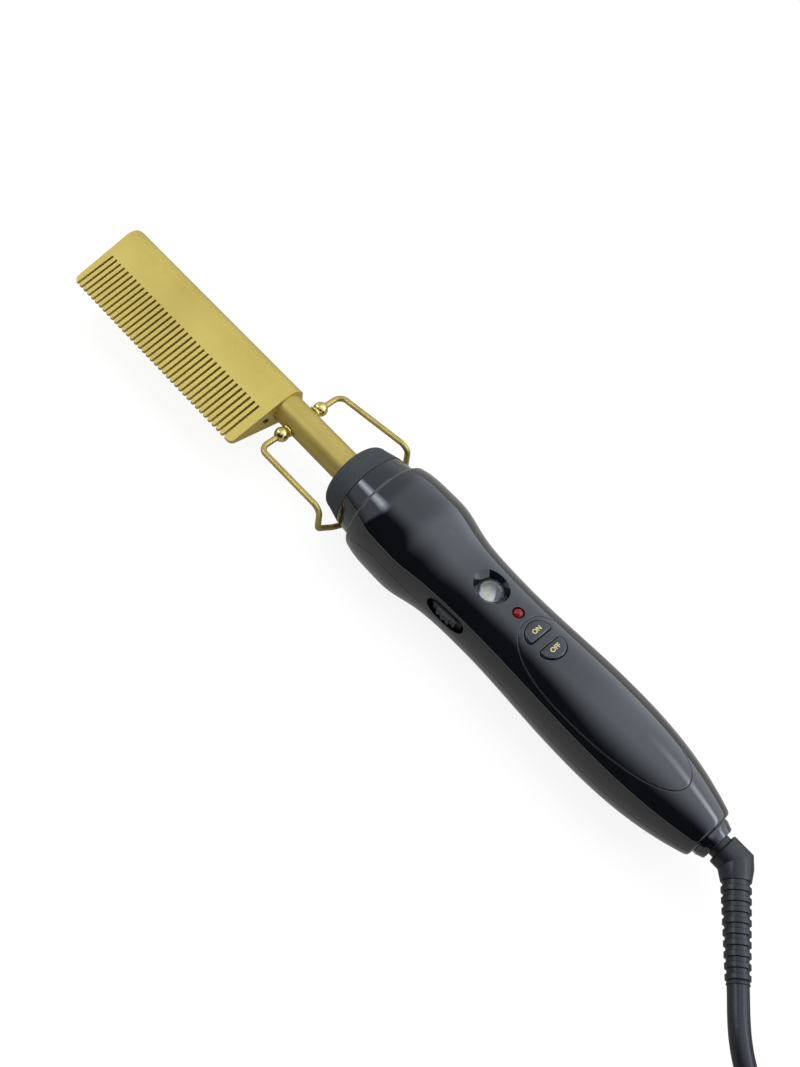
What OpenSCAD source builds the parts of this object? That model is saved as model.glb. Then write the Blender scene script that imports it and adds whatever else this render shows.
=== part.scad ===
// Electric hot comb: a heated, slotted comb head on a steel tube, a moulded
// handle with a temperature thumb wheel and ON and OFF buttons, a wire stand
// that swings on the tube, and a mains lead on a swivel.
// X = 0 is the comb's first gap. X runs from the comb to the handle's tail,
// the teeth point to -Y and Z is up. Inside the modules Z = 0 is the handle's
// axis, and place() sets the whole on the table under the middle of its box.

/* [Comb head] */
// Number of gaps between the teeth
slot_count = 37; // [20:1:45]
// Distance from one gap to the next
tooth_pitch = 2.2; // [1.9:0.05:2.6]
// Width of a gap
slot_w = 0.9; // [0.6:0.05:1.2]
// Solid comb beyond the first gap, at the teeth
tip_guard = 2.3; // [1.6:0.1:5]
// Solid comb from the last gap to the head's end face
near_guard = 3.9; // [3.4:0.1:6]
// Lean of the tip face, in degrees
tip_slant = 3.5; // [0:0.5:8]
// Metal left beside the tube inside the head
head_wall = 0.8; // [0.6:0.1:2]
// Distance from the tube's axis to the middle of the round back
back_y = 0.9; // [0.2:0.1:2]
// Distance from the tube's axis to the tooth tips
tooth_reach = 23.5; // [19:0.5:30]
// Distance from the tube's axis to the bottoms of the gaps
root_y = 8.7; // [7.6:0.1:12]
// Radius of the wedge's thin edge
edge_r = 0.65; // [0.45:0.05:1.2]
// Rounding of the head's corners in side view
head_corner_r = 2.8; // [1:0.1:3.5]
// Rounding of the tooth tips
tooth_tip_r = 0.55; // [0.2:0.05:0.6]
// Distance from the tube's axis to that screw, on the head's end face
comb_screw_y = 9.3; // [8.9:0.1:9.8]

/* [Heater] */
// Diameter of the heating rod
heater_d = 6.4; // [5:0.1:7]
// Wall of the insulating sleeve round the rod
sleeve_wall = 0.9; // [0.5:0.1:1]
// Solid metal between the heater's bore and the tip
heater_tip_wall = 5; // [3:0.5:12]
// Diameter of a lead's insulation
lead_d = 1.2; // [0.8:0.1:1.4]
// Diameter of the thermal fuse
fuse_d = 2.8; // [2:0.1:3]
// Length of the thermal fuse
fuse_len = 11; // [8:0.5:14]

/* [Neck tube] */
// Outer diameter of the tube
tube_d = 10.8; // [10:0.1:12]
// Wall of the tube
tube_wall = 0.8; // [0.6:0.1:1]
// Depth of the tube inside the head
tube_socket = 12; // [9:0.5:18]
// Bare tube from the head to the nose collar
neck_len = 32.5; // [26:0.5:45]
// Depth of the tube inside the handle
tube_in_handle = 16; // [15.5:0.1:18]

/* [Stand] */
// Distance from the head's end face to the stand's axis
pivot_gap = 7.1; // [6:0.1:12]
// Diameter of the stand's wire
wire_d = 2; // [1.6:0.1:2.4]
// Diameter of the ball nuts
ball_d = 5; // [4.6:0.1:6]
// Diameter of the pivot stud
stud_d = 2.4; // [2:0.1:2.8]
// Thickness of the washers beside the tube
washer_t = 1; // [0.6:0.1:1.4]
// Free width between the stand's arms at the pivot
stand_inner_w = 32; // [30:0.5:36]
// Bend radius of the wire
wire_bend_r = 3; // [2.6:0.1:3.4]

/* [Handle] */
// Length of the nose collar
collar_len = 8.9; // [7.5:0.1:12]
// Largest radius of the nose collar
collar_r = 14.1; // [13.5:0.1:14.6]
// Length of the moulded handle behind the collar
handle_len = 144; // [142:0.5:150]
// Radius of the handle at its bulge
hip_r = 17.86; // [17.4:0.1:20]
// Radius of the handle at its waist
waist_r = 13.88; // [13.6:0.1:15]
// Radius of the handle in the palm
palm_r = 15.05; // [14.7:0.1:17]
// Radius of the handle's tail
tail_r = 8.4; // [8.2:0.1:10]
// Wall of the handle's shells
shell_wall = 2.2; // [1.9:0.1:2.4]
// Gap of the seam between the shells
seam_gap = 0.12; // [0.05:0.01:0.2]

/* [Window and wheel] */
// Distance from the collar to the thumb wheel's axis
wheel_x = 47.5; // [47:0.1:48]
// Sideways offset of the wheel's axis, towards the thumb
wheel_y = 2.2; // [2:0.1:2.4]
// Radius of the thumb wheel
wheel_r = 12; // [11.8:0.05:12.1]
// Thickness of the wheel's rim
wheel_t = 3.4; // [3:0.1:3.6]
// Radius of the wheel's number plate
plate_r = 7.4; // [6.5:0.1:8]
// Height of the number plate above the rim
plate_t = 1.6; // [1:0.1:2]
// Count of the grooves round the rim
groove_count = 34; // [24:1:40]
// Diameter of the window's lens
lens_d = 8; // [7:0.1:8.4]
// Thickness of the lens
lens_t = 1.2; // [0.8:0.1:1.4]

/* [Panel and buttons] */
// Half width of the inlaid panel
panel_half_w = 11.2; // [10.5:0.1:11.6]
// Length of the panel ahead of its widest place
panel_front = 27.6; // [27:0.1:29]
// Bare handle behind the panel
panel_tail = 13; // [11.5:0.5:19]
// Thickness of the panel
panel_t = 1; // [0.8:0.1:1.2]
// Radius of a button's round side
button_r = 4.5; // [4.2:0.1:4.7]
// Distance from the round side's centre to the flat side
button_flat = 0.6; // [0.2:0.1:0.9]
// Bar of panel between the two buttons
button_bar = 3.3; // [3:0.1:3.8]
// How far a button travels
button_travel = 0.6; // [0.4:0.05:0.8]
// How far a button stands proud
button_proud = 0.35; // [0.1:0.05:0.6]
// Diameter of the lamp
lamp_d = 3.4; // [3:0.1:3.6]

/* [Electronics] */
// Length of the circuit board
board_len = 76; // [74:0.5:77]
// Width of the circuit board
board_w = 20; // [18:0.5:21]
// Thickness of the circuit board
board_t = 1.6; // [1:0.1:1.8]
// Width of a push switch
switch_w = 6; // [5:0.1:6.4]
// Height of a push switch's case
switch_h = 3.4; // [3:0.1:4]
// Diameter of the wheel's spindle
spindle_d = 5; // [4:0.1:6]

/* [Swivel] */
// Radius of the faceted nut at the tail
nut_r = 6.6; // [6.2:0.1:7.4]
// Length of the faceted nut
nut_len = 3.5; // [2.5:0.1:5]
// Radius of the swivel's stem
stem_r = 3.2; // [3:0.05:3.4]
// Radius of the elbow
elbow_r = 5; // [4.6:0.1:5.6]
// Bend of the elbow, in degrees
elbow_angle = 49; // [30:1:80]
// Length of the ribbed strain relief
relief_len = 27.6; // [22:0.2:36]
// Radius of the strain relief where it starts
relief_r0 = 4.3; // [4.1:0.1:4.6]
// Radius of the strain relief at its end
relief_r1 = 3.5; // [3.4:0.05:3.8]
// Count of the ribs on the strain relief
rib_count = 9; // [6:1:12]

/* [Mains lead] */
// Diameter of the lead
cord_d = 6; // [5.6:0.1:6.2]
// Turns in each layer of the coil
layer_turns = 2; // [1:1:3]
// Width of the plug
plug_w = 25; // [22:0.5:30]
// Thickness of the plug
plug_t = 15; // [13:0.5:18]
// Length of the plug's body
plug_len = 28; // [24:0.5:34]
// Length of the blades outside the plug
blade_len = 16; // [15:0.5:18]

/* [Fits] */
// Clearance round a turning shaft
run_gap = 0.05; // [0.02:0.01:0.08]
// Clearance round a piece set in its seat
seat_gap = 0.1; // [0.05:0.01:0.15]

/* [Hidden] */
$fn = 48;
eps = 0.01;
reach = 60;
tube_r = tube_d / 2;
tube_bore_r = tube_r - tube_wall;
wire_r = wire_d / 2;
cord_r = cord_d / 2;
lead_r = lead_d / 2;

// Comb head
back_r = tube_r + seat_gap + head_wall;
head_x1 = (slot_count - 1) * tooth_pitch + near_guard;
edge_y = edge_r - tooth_reach - 0.2;
tube_x0 = head_x1 - tube_socket + seat_gap;
sleeve_r = heater_d / 2 + sleeve_wall;
heater_x0 = -tip_guard + heater_tip_wall;
comb_screw_angle = 35;
comb_screw_r = 0.75;
comb_screw_head_r = 1.15;
comb_screw_head = 1.3;
comb_screw_sunk = 0.5;
// The screw's tip stops at the tube
comb_screw_len = (comb_screw_y - tube_r - seat_gap - comb_screw_r * cos(comb_screw_angle))
  / sin(comb_screw_angle) - comb_screw_sunk;

// Stand
pivot_x = head_x1 + pivot_gap;
collar_x = head_x1 + neck_len;
handle_x = collar_x + collar_len;
washer_y = tube_r + eps;
ball_y = washer_y + washer_t + 0.36 * ball_d;
ball_bore_y = ball_y - 0.3;
stud_y = ball_bore_y - 0.8;
wire_end_y = ball_bore_y + 0.1;
stand_half_w = stand_inner_w / 2 + wire_r;
// Where each leg turns down, where it turns in, and its bar under the collar
knee = [handle_x - 3.3, stand_half_w + 1.6, 4.2];
heel = [handle_x - 3.1, stand_half_w + 1.9, -6.8];
foot_x = handle_x - 2.5;
foot_z = wire_r + 0.25 - hip_r;

// Handle: radii along its length, measured from the collar
band_len = 6.4;
band_r = collar_r + 0.6;
shoulder_len = 1.6;
shoulder_r = hip_r - 0.96;
hip_x = 21.5;
waist_x = 59.5;
palm_x = 99;
front_wall = 2.5;
end_wall = 3;
tail_round = 0.8;
spigot_r = 11.2;
spigot_len = 5.5;
spigot_bore_r = 9;
collar_nose_r = 2.8;
collar_front_r = 12.6;
rib_t = 1.8;
flange_t = 1.2;
flange_r = tube_r + 1.8;
flange_x = tube_in_handle - 4;

// Seam between the shells, seen from the side
seam_z = 0.9;
seam_rise = 4.3;
seam_peak_x = 19.5;

// Window and wheel
wheel_z = 2.2;
wheel_gap = 0.35;
plate_z = wheel_z + wheel_t;
scoop_r = 2.9;
scoop_ring_r = wheel_r - 1.3;
scoop_z = wheel_z + wheel_t / 2;
window_x = wheel_x + 5;
lens_z = waist_r - 3.3;
lens_ledge = 0.6;
window_boss_r = lens_d / 2 + 1.6;
window_boss_z = lens_z - 1.3;

// Panel and buttons
panel_x = 94.5;
panel_rear = handle_len - panel_x - panel_tail;
lamp_x = 63.55;
button_mid_x = 74.8;
button_gap = 0.15;
button_side = button_flat + button_bar / 2;
flange_over = 0.8;
flange_z = waist_r - shell_wall - 2;
flange_h = 1.3;
plunger_r = 1.7;
plunger_h = 1.5;
switch_off = switch_w / 2 + 0.6;

// Electronics
board_x = wheel_x - 12;
post_r = 1.8;
posts = [[63.3, 7.2], [63.3, -7.2], [board_x + board_len - 4.2, 6]];
board_screw_r = 0.9;
board_screw_len = 6;
pot_w = 11;
pot_h = 6;
pot_bush_r = spindle_d / 2 + 0.9;
spindle_z0 = -board_t - pot_h + 1.6;
spindle_z1 = plate_z + plate_t - 0.9;
groove_r = 0.8;
// Corner on the board and size of each chip and of the capacitor
power_chip_at = [board_x + 48.5, -5];
power_chip_size = [15.5, 10, 4.4];
control_chip_at = [board_x + 49, 2];
control_chip_size = [6, 6, 1.6];
capacitor_at = [board_x + board_len - 21.5, -7];
capacitor_size = [8, 8, 9];

// Where the solids that trim the posts, the panel's recess and the buttons start and end
trim_x0 = 30;
trim_x1 = handle_len - 2;

// Shell screws
boss_r = 3.6;
boss_x = [26, handle_len - 26];
screw_r = 1.25;
screw_len = 18;
screw_head_r = 2.4;
screw_head_h = 1.6;
screw_under = 6.5;

// Swivel
nut_x = handle_len;
nut_spigot_r = 4.8;
stem_x0 = handle_len - 17;
neck_x = nut_x + nut_len + 0.2;
neck_r = stem_r + 0.5;
neck_vis = 1.4;
elbow_x = neck_x + neck_vis;
elbow_corner_x = elbow_x + 5.1;
elbow_leg = 5.6;
// The knuckle reaches the corner that two mitred tubes of the elbow's radius would have
elbow_knuckle_r = elbow_r / cos(elbow_angle / 2) + 0.1;
elbow_cone = 3.6;
ring_r = stem_r + 1;
ring_w = 2;
ring_x = [handle_len - 15, handle_len - 10.5];
brush_t = 0.4;
brush_gap = 0.05;
clip_r = 5.2;
clip_t = 1.2;
clip_gap = 0.2;

// Where the strain relief starts and ends, in handle coordinates
relief_dir = [cos(elbow_angle), -sin(elbow_angle)];
relief_start = [elbow_corner_x, 0] + elbow_leg * relief_dir;
relief_end = relief_start + relief_len * relief_dir;

// The whole object's box, without the mains lead
box_x0 = -tip_guard - (tooth_reach + back_y + back_r) * tan(tip_slant) * 0.85;
box_x1 = handle_x + relief_end[0] + relief_r1 * sin(elbow_angle);
box_y0 = min(-tooth_reach, relief_end[1] - relief_r1 * cos(elbow_angle));
box_y1 = heel[1] + wire_r;
mid_x = (box_x0 + box_x1) / 2;
mid_y = (box_y0 + box_y1) / 2;

// Mains lead, seen from the strain relief's end: X along the handle, Y to its left, and Z
// up from the table. The run turns level with the handle, falls to the table and meets
// the coil's outer turn. The tail crosses the coil's top, and the plug lies on the coil.
run_straight = 8;
run_bend_r = 35.5;
run_bend_len = run_bend_r * elbow_angle * PI / 180;
run_len = 98;
run_fall = 64;
run_centre = run_straight * relief_dir + run_bend_r * [sin(elbow_angle), cos(elbow_angle)];
coil_pitch = cord_d + 0.5;
coil_r = 39.5;
coil_layers = 4;
coil_low = cord_r + 0.05;
coil_mid = run_centre + [run_len - run_straight - run_bend_len, coil_r - run_bend_r];
tail_bend_r = 27;
tail_straight = 6;
plug_z = coil_low + (coil_layers - 1) * coil_pitch + cord_r + plug_t / 2 + 0.05;

// Plug: neck, and blades as on a North American two-pin plug
plug_neck = 12;
blade_gap = 12.7;
blade_w = 6.34;
blade_t = 1.52;
blade_root = 7.9;
blade_hole_r = 1.6;

// ---- Shared shapes ----

// Sets the object on the table, centred over its own box
module place() {
  translate([-mid_x, -mid_y, hip_r]) children();
}

// Handle coordinates: X = 0 at the joint with the collar
module in_handle() {
  place() translate([handle_x, 0, 0]) children();
}

// A round bar along X
module bar(x0, x1, r) {
  translate([x0, 0, 0]) rotate([0, 90, 0]) cylinder(h = x1 - x0, r = r);
}

// Material to take off a corner whose metal lies at -X, -Y
module corner_off(r) {
  difference() {
    translate([-r, -r, -reach]) cube([r + 3, r + 3, 2 * reach]);
    translate([-r, -r, -reach - 1]) cylinder(h = 2 * reach + 2, r = r);
  }
}

function unit(v) = v / norm(v);
function across(d) = unit(abs(d[2]) < 0.9 ? cross(d, [0, 0, 1]) : cross(d, [1, 0, 0]));

// The points with each inner corner rounded to bend_r, in steps
function rounded(points, bend_r, steps) =
  let (last = len(points) - 1)
  [points[0],
   for (i = [1 : last - 1])
     let (d0 = unit(points[i] - points[i - 1]), d1 = unit(points[i + 1] - points[i]),
          turn = acos(d0 * d1), start = points[i] - bend_r * tan(turn / 2) * d0,
          centre = points[i] + unit(d1 - d0) * bend_r / cos(turn / 2), x = unit(start - centre))
     for (k = [0 : steps])
       centre + bend_r * (cos(turn * k / steps) * x + sin(turn * k / steps) * d0),
   points[last]];

// A tube through the points, with a ring of sides at each
module swept_tube(points, r, sides) {
  n = len(points);
  dirs = [for (i = [0 : n - 1]) unit(points[min(i + 1, n - 1)] - points[max(i - 1, 0)])];
  outs = [for (i = 0, out = across(dirs[0]); i < n;
               i = i + 1, out = i < n ? unit(out - (out * dirs[i]) * dirs[i]) : out) out];
  rings = [for (i = [0 : n - 1], k = [0 : sides - 1])
    let (a = 360 * (k + 0.5) / sides)
    points[i] + r * (cos(a) * outs[i] + sin(a) * cross(outs[i], dirs[i]))];
  walls = [for (i = [0 : n - 2], k = [0 : sides - 1])
    let (a = i * sides + k, b = i * sides + (k + 1) % sides)
    each [[a, b, b + sides], [a, b + sides, a + sides]]];
  caps = [for (k = [1 : sides - 2])
    each [[0, k + 1, k], [(n - 1) * sides, (n - 1) * sides + k, (n - 1) * sides + k + 1]]];
  polyhedron(points = rings, faces = concat(walls, caps));
}

// A round rod through the points, each inner corner bent to bend_r
module bent_rod(points, bend_r, r, sides) {
  swept_tube(rounded(points, bend_r, 4), r, sides);
}

// ---- Comb head ----

// The head's section across the tube: round back and thin edge
module wedge_section() {
  lean = asin((back_r - edge_r) / (back_y - edge_y));
  n = [-sin(lean), cos(lean)];
  top = [[back_y, 0] + back_r * n, [edge_y, 0] + edge_r * n];
  translate([back_y, 0]) circle(r = back_r);
  translate([edge_y, 0]) circle(r = edge_r);
  polygon([top[0], top[1], [top[1][0], -top[1][1]], [top[0][0], -top[0][1]]]);
}

// One gap, flared at the tooth tips
module comb_slot() {
  flare_w = slot_w + 2 * tooth_tip_r;
  linear_extrude(height = 2 * back_r, center = true) {
    translate([-slot_w / 2, -tooth_reach - 1]) square([slot_w, tooth_reach + 1 - root_y]);
    difference() {
      translate([-flare_w / 2, -tooth_reach - 1]) square([flare_w, 1 + tooth_tip_r]);
      for (side = [-1, 1])
        translate([side * flare_w / 2, -tooth_reach + tooth_tip_r]) circle(r = tooth_tip_r);
    }
  }
}

// Places children at the locking screw's head, pointing into the metal
module at_comb_screw() {
  translate([head_x1, -comb_screw_y, 0]) rotate([0, 0, -comb_screw_angle])
    rotate([0, -90, 0]) children();
}

module comb_head() {
  back_top = back_y + back_r;
  color("gold") place() difference() {
    rotate([90, 0, 90]) translate([0, 0, -tip_guard - 3])
      linear_extrude(height = head_x1 + tip_guard + 3) wedge_section();
    translate([-tip_guard, -tooth_reach, 0]) rotate([0, 0, tip_slant]) {
      translate([-20, -10, -reach]) cube([20, reach, 2 * reach]);
      translate([0, back_top + tooth_reach, 0]) mirror([1, 0, 0]) corner_off(head_corner_r);
      mirror([1, 0, 0]) mirror([0, 1, 0]) corner_off(head_corner_r / 1.5);
    }
    translate([-reach, -tooth_reach - 10, -reach]) cube([3 * reach, 10, 2 * reach]);
    translate([head_x1, -tooth_reach, 0]) mirror([0, 1, 0]) corner_off(head_corner_r / 1.5);
    translate([head_x1, back_top, 0]) corner_off(head_corner_r / 2.5);
    for (i = [0 : slot_count - 1]) translate([i * tooth_pitch, 0, 0]) comb_slot();
    bar(tube_x0 - seat_gap, head_x1 + 1, tube_r + seat_gap);
    bar(heater_x0, head_x1, sleeve_r + seat_gap);
    at_comb_screw() {
      translate([0, 0, -2])
        cylinder(h = 2 + comb_screw_head + comb_screw_sunk, r = comb_screw_head_r + seat_gap);
      cylinder(h = comb_screw_len + 2 * comb_screw_sunk, r = comb_screw_r + seat_gap / 2);
    }
  }
}

module comb_screw() {
  color("goldenrod") place() at_comb_screw() difference() {
    union() {
      translate([0, 0, comb_screw_sunk]) cylinder(h = comb_screw_head, r = comb_screw_head_r);
      translate([0, 0, comb_screw_sunk]) cylinder(h = comb_screw_len, r = comb_screw_r);
    }
    translate([-2, -0.2, 0]) cube([4, 0.4, 1.1]);
  }
}

// ---- Heater ----

heater_x1 = tube_x0 + 1;

module heater_core() {
  color("silver") place() bar(heater_x0 + 0.2, heater_x1, heater_d / 2);
}

module heater_sleeve() {
  color("white") place() difference() {
    bar(heater_x0 + 0.1, tube_x0 - seat_gap / 2, sleeve_r);
    bar(heater_x0, tube_x0, heater_d / 2 + run_gap);
  }
}

// The heater's leads pass beside each other, over the stud
lead_y = 1.4;
lead_z = stud_d / 2 + lead_r + 0.3;
fuse_x = collar_x - 18;

module thermal_fuse() {
  color("white") place() translate([0, lead_y, lead_z])
    bar(fuse_x, fuse_x + fuse_len, fuse_d / 2);
}

// One heater lead from x0, through the tube and past the boss, to the board
module heater_lead(x0, side) {
  out_y = boss_r + lead_r + 1;
  end_x = handle_x + board_x + 2;
  bent_rod([[x0, side * lead_y, lead_z], [handle_x + tube_in_handle + 2, side * lead_y, lead_z],
            [handle_x + boss_x[0] - boss_r - 0.6, side * out_y, 0.4], [end_x, side * out_y, 1],
            [end_x, side * out_y, 0]], 0.8, lead_r, 8);
}

module heater_leads() {
  color("ivory") place() {
    translate([0, lead_y, lead_z]) bar(heater_x1, fuse_x, lead_r);
    heater_lead(fuse_x + fuse_len, 1);
    heater_lead(heater_x1, -1);
  }
}

// ---- Neck tube and stand ----

module neck_tube() {
  tube_x1 = handle_x + tube_in_handle;
  color("gold") place() difference() {
    union() {
      bar(tube_x0, tube_x1, tube_r);
      bar(handle_x + flange_x, handle_x + flange_x + flange_t, flange_r);
    }
    bar(tube_x0 - 1, tube_x1 + 1, tube_bore_r);
    translate([pivot_x, 0, 0]) rotate([90, 0, 0])
      cylinder(h = 4 * tube_r, r = stud_d / 2 + run_gap, center = true);
  }
}

module stand_stud() {
  color("silver") place() translate([pivot_x, 0, 0]) rotate([90, 0, 0])
    cylinder(h = 2 * stud_y, r = stud_d / 2, center = true);
}

module stand_washers() {
  color("goldenrod") place() for (side = [0, 1]) mirror([0, side, 0])
    translate([pivot_x, washer_y + washer_t, 0]) rotate([90, 0, 0]) difference() {
      cylinder(h = washer_t, r = stud_d / 2 + 1.1);
      translate([0, 0, -1]) cylinder(h = washer_t + 2, r = stud_d / 2 + run_gap);
    }
}

module stand_nuts() {
  color("goldenrod") place() for (side = [0, 1]) mirror([0, side, 0])
    translate([pivot_x, 0, 0]) rotate([-90, 0, 0]) difference() {
      translate([0, 0, ball_y]) sphere(r = ball_d / 2);
      cylinder(h = washer_y + washer_t, r = ball_d);
      cylinder(h = stud_y + seat_gap, r = stud_d / 2 + run_gap);
      translate([0, 0, ball_bore_y]) cylinder(h = ball_d, r = wire_r + run_gap);
    }
}

module stand_wire() {
  side = [[pivot_x, wire_end_y + 1, 0], [pivot_x, stand_half_w, 0], knee, heel,
          [foot_x - 0.5, stand_half_w - 4.5, -12.8], [foot_x, 6, foot_z]];
  other = [for (i = [len(side) - 1 : -1 : 0]) [side[i][0], -side[i][1], side[i][2]]];
  color("gold") place() {
    bent_rod(concat(side, other), wire_bend_r, wire_r - eps, 12);
    for (flip = [0, 1]) mirror([0, flip, 0]) translate([pivot_x, stand_half_w - wire_bend_r - 1, 0])
      rotate([90, 0, 0]) cylinder(h = stand_half_w - wire_bend_r - 1 - wire_end_y, r = wire_r);
  }
}

// ---- Handle ----

module nose_collar() {
  nose_x = collar_x + collar_nose_r;
  color("dimgray") place() rotate([0, 90, 0]) difference() {
    rotate_extrude() {
      translate([collar_front_r - collar_nose_r, nose_x]) circle(r = collar_nose_r);
      polygon([[0, collar_x], [collar_front_r - collar_nose_r, collar_x],
               [collar_front_r, nose_x], [collar_r, handle_x - seat_gap],
               [0, handle_x - seat_gap]]);
    }
    cylinder(h = 2 * handle_x, r = tube_r + seat_gap);
    translate([0, 0, handle_x - spigot_len - seat_gap])
      cylinder(h = spigot_len + 1, r = spigot_r + seat_gap);
  }
}

// The handle's outer radius at x
function bulge(x) =
  x < hip_x ? hip_r - (hip_r - shoulder_r) * pow((hip_x - x) / (hip_x - band_len - shoulder_len), 4)
  : x < waist_x ? waist_r + (hip_r - waist_r) * fade((x - hip_x) / (waist_x - hip_x))
  : x < palm_x ? waist_r + (palm_r - waist_r) * (1 - cos(180 * (x - waist_x) / (palm_x - waist_x))) / 2
  : palm_r - (palm_r - tail_r) * pow((x - palm_x) / (handle_len - palm_x), 2.45);
function fade(t) = (1 - pow(t, 3)) / (1 + pow(t / 0.35, 3));

// The handle's outline, drawn in by inset, between x0 and x1
function outline(inset, x1) =
  let (x0 = band_len + shoulder_len, steps = 44)
  [for (a = [180 : -22.5 : 112.5])
     [band_r + (shoulder_r - band_r) * sin(a) - inset, x0 + shoulder_len * cos(a)],
   for (i = [0 : steps]) let (x = x0 + (x1 - x0) * i / steps) [bulge(x) - inset, x]];

module handle_solid(inset, x0, x1) {
  rotate([0, 90, 0]) rotate_extrude()
    polygon(concat([[0, x0], [collar_r - inset, x0]], outline(inset, x1), [[0, x1]]));
}

module handle_outer() {
  difference() {
    handle_solid(0, 0, handle_len);
    translate([handle_len - tail_round, 0, 0]) rotate([0, 90, 0]) difference() {
      cylinder(h = 2, r = tail_r + 3);
      translate([0, 0, -eps]) cylinder(h = 3, r1 = tail_r, r2 = tail_r - 3 * tail_round);
    }
  }
}

// Height of the seam at x
function seam(x) = seam_z + seam_rise * (x < seam_peak_x
  ? exp(-pow((seam_peak_x - x) / 9.5, 2)) : exp(-pow((x - seam_peak_x) / 15, 3)));

// Everything above the seam (side 1) or below it (side -1)
module seam_half(side) {
  steps = 52;
  x0 = -spigot_len - 1;
  x1 = handle_len + 1;
  line = [for (i = [0 : steps]) let (x = x0 + (x1 - x0) * i / steps) [x, seam(x) + side * seam_gap / 2]];
  rotate([90, 0, 0]) linear_extrude(height = 2 * reach, center = true)
    polygon(concat(line, [[x1, side * reach], [x0, side * reach]]));
}

// A post along Z, from z0 to z1
module post(x, y, r, z0, z1) {
  translate([x, y, z0]) cylinder(h = z1 - z0, r = r);
}

// The room inside the shells, less the ribs, bosses and posts left standing
module cavity() {
  difference() {
    handle_solid(shell_wall, front_wall, handle_len - end_wall);
    bar(flange_x - seat_gap - rib_t, flange_x - seat_gap, reach);
    bar(flange_x + flange_t + seat_gap, flange_x + flange_t + seat_gap + rib_t, reach);
    for (x = boss_x) post(x, 0, boss_r, -reach, reach);
    post(window_x, 0, window_boss_r, window_boss_z, reach);
    for (i = [0, 1]) brush_holder(i, reach);
  }
}

brush_y = ring_r + brush_gap;
holder_z = -4.5;

module brush_holder(i, depth) {
  mirror([0, i, 0]) translate([ring_x[i] - 0.8, brush_y - 1.2, -depth])
    cube([ring_w + 1.6, brush_t + 2.4, depth + holder_z]);
}

// A brush's strip, grown by gap
module brush_strip(i, gap) {
  mirror([0, i, 0]) translate([ring_x[i] - gap, brush_y - gap, holder_z - 2 - gap])
    cube([ring_w + 2 * gap, brush_t + 2 * gap, 8.5]);
}

// Both shells in one, before the seam parts them
module shell_blank() {
  difference() {
    union() {
      handle_outer();
      bar(-spigot_len, 1, spigot_r);
    }
    cavity();
    bar(-spigot_len - 1, tube_in_handle + 1, tube_r + seat_gap);
    bar(handle_len - end_wall - 1, handle_len + 1, nut_spigot_r + seat_gap);
    bar(-spigot_len - 1, -seat_gap, spigot_bore_r);
    wheel_room();
    for (x = boss_x) translate([x, 0, 0]) screw_hole(x);
    for (i = [0, 1]) brush_strip(i, seat_gap / 2);
  }
}

function screw_seat(x) = screw_under - bulge(x);

module screw_hole(x) {
  translate([0, 0, -reach]) cylinder(h = reach + screw_seat(x), r = screw_head_r + 2 * seat_gap);
  translate([0, 0, screw_seat(x) - 1])
    cylinder(h = screw_len + 1.5, r = screw_r + seat_gap / 2);
}

// The wheel's pocket and the thumb scoop where its rim comes out
module wheel_room() {
  translate([wheel_x, -wheel_y, 0]) {
    translate([0, 0, wheel_z - wheel_gap])
      cylinder(h = wheel_t + 2 * wheel_gap, r = wheel_r + wheel_gap);
    translate([0, 0, scoop_z]) rotate_extrude() translate([scoop_ring_r, 0]) circle(r = scoop_r);
  }
}

// The outline of the inlaid panel, grown by gap
module panel_plan(gap) {
  steps = 40;
  translate([panel_x, 0]) polygon([for (i = [0 : steps - 1])
    let (a = 360 * i / steps, rear = cos(a) > 0, n = rear ? 2.2 : 2.4,
         long = (rear ? panel_rear : panel_front) + gap, wide = panel_half_w + gap)
    [sign(cos(a)) * long * pow(abs(cos(a)), 2 / n), sign(sin(a)) * wide * pow(abs(sin(a)), 2 / n)]]);
}

// A D-shaped button's outline, grown by gap; side -1 is ON and 1 is OFF
module button_plan(side, gap) {
  translate([button_mid_x, 0]) mirror([side < 0 ? 1 : 0, 0]) translate([button_side, 0])
    intersection() {
      circle(r = button_r + gap);
      translate([-button_flat - gap, -reach / 2]) square(reach);
    }
}

module button_holes() {
  for (side = [-1, 1]) linear_extrude(height = reach) button_plan(side, button_gap);
}

module upper_shell() {
  color("#15171a") in_handle() difference() {
    union() {
      intersection() {
        shell_blank();
        seam_half(1);
      }
      intersection() {
        handle_solid(shell_wall - 0.3, trim_x0, trim_x1);
        for (p = posts) post(p[0], p[1], post_r, 0, reach);
      }
    }
    intersection() {
      difference() {
        handle_solid(-1, trim_x0, trim_x1);
        handle_solid(panel_t + seat_gap / 2, trim_x0 - 1, trim_x1 + 1);
      }
      linear_extrude(height = reach) panel_plan(seat_gap);
    }
    button_holes();
    post(lamp_x, 0, lamp_d / 2 + seat_gap, 0, reach);
    window_hole();
    for (p = posts) post(p[0], p[1], board_screw_r + run_gap, -1, board_screw_len - board_t + 0.4);
  }
}

// Funnel, bore and ledge of the window
module window_hole() {
  bore_r = lens_d / 2 + seat_gap;
  translate([window_x, 0, lens_z]) {
    translate([0, 0, -reach / 2]) cylinder(h = reach, r = lens_d / 2 - lens_ledge);
    cylinder(h = reach, r = bore_r);
    translate([0, 0, lens_t + 0.1]) cylinder(h = 4, r1 = bore_r, r2 = bore_r + 3.6);
  }
}

module lower_shell() {
  color("#15171a") in_handle() intersection() {
    shell_blank();
    seam_half(-1);
  }
}

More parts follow.
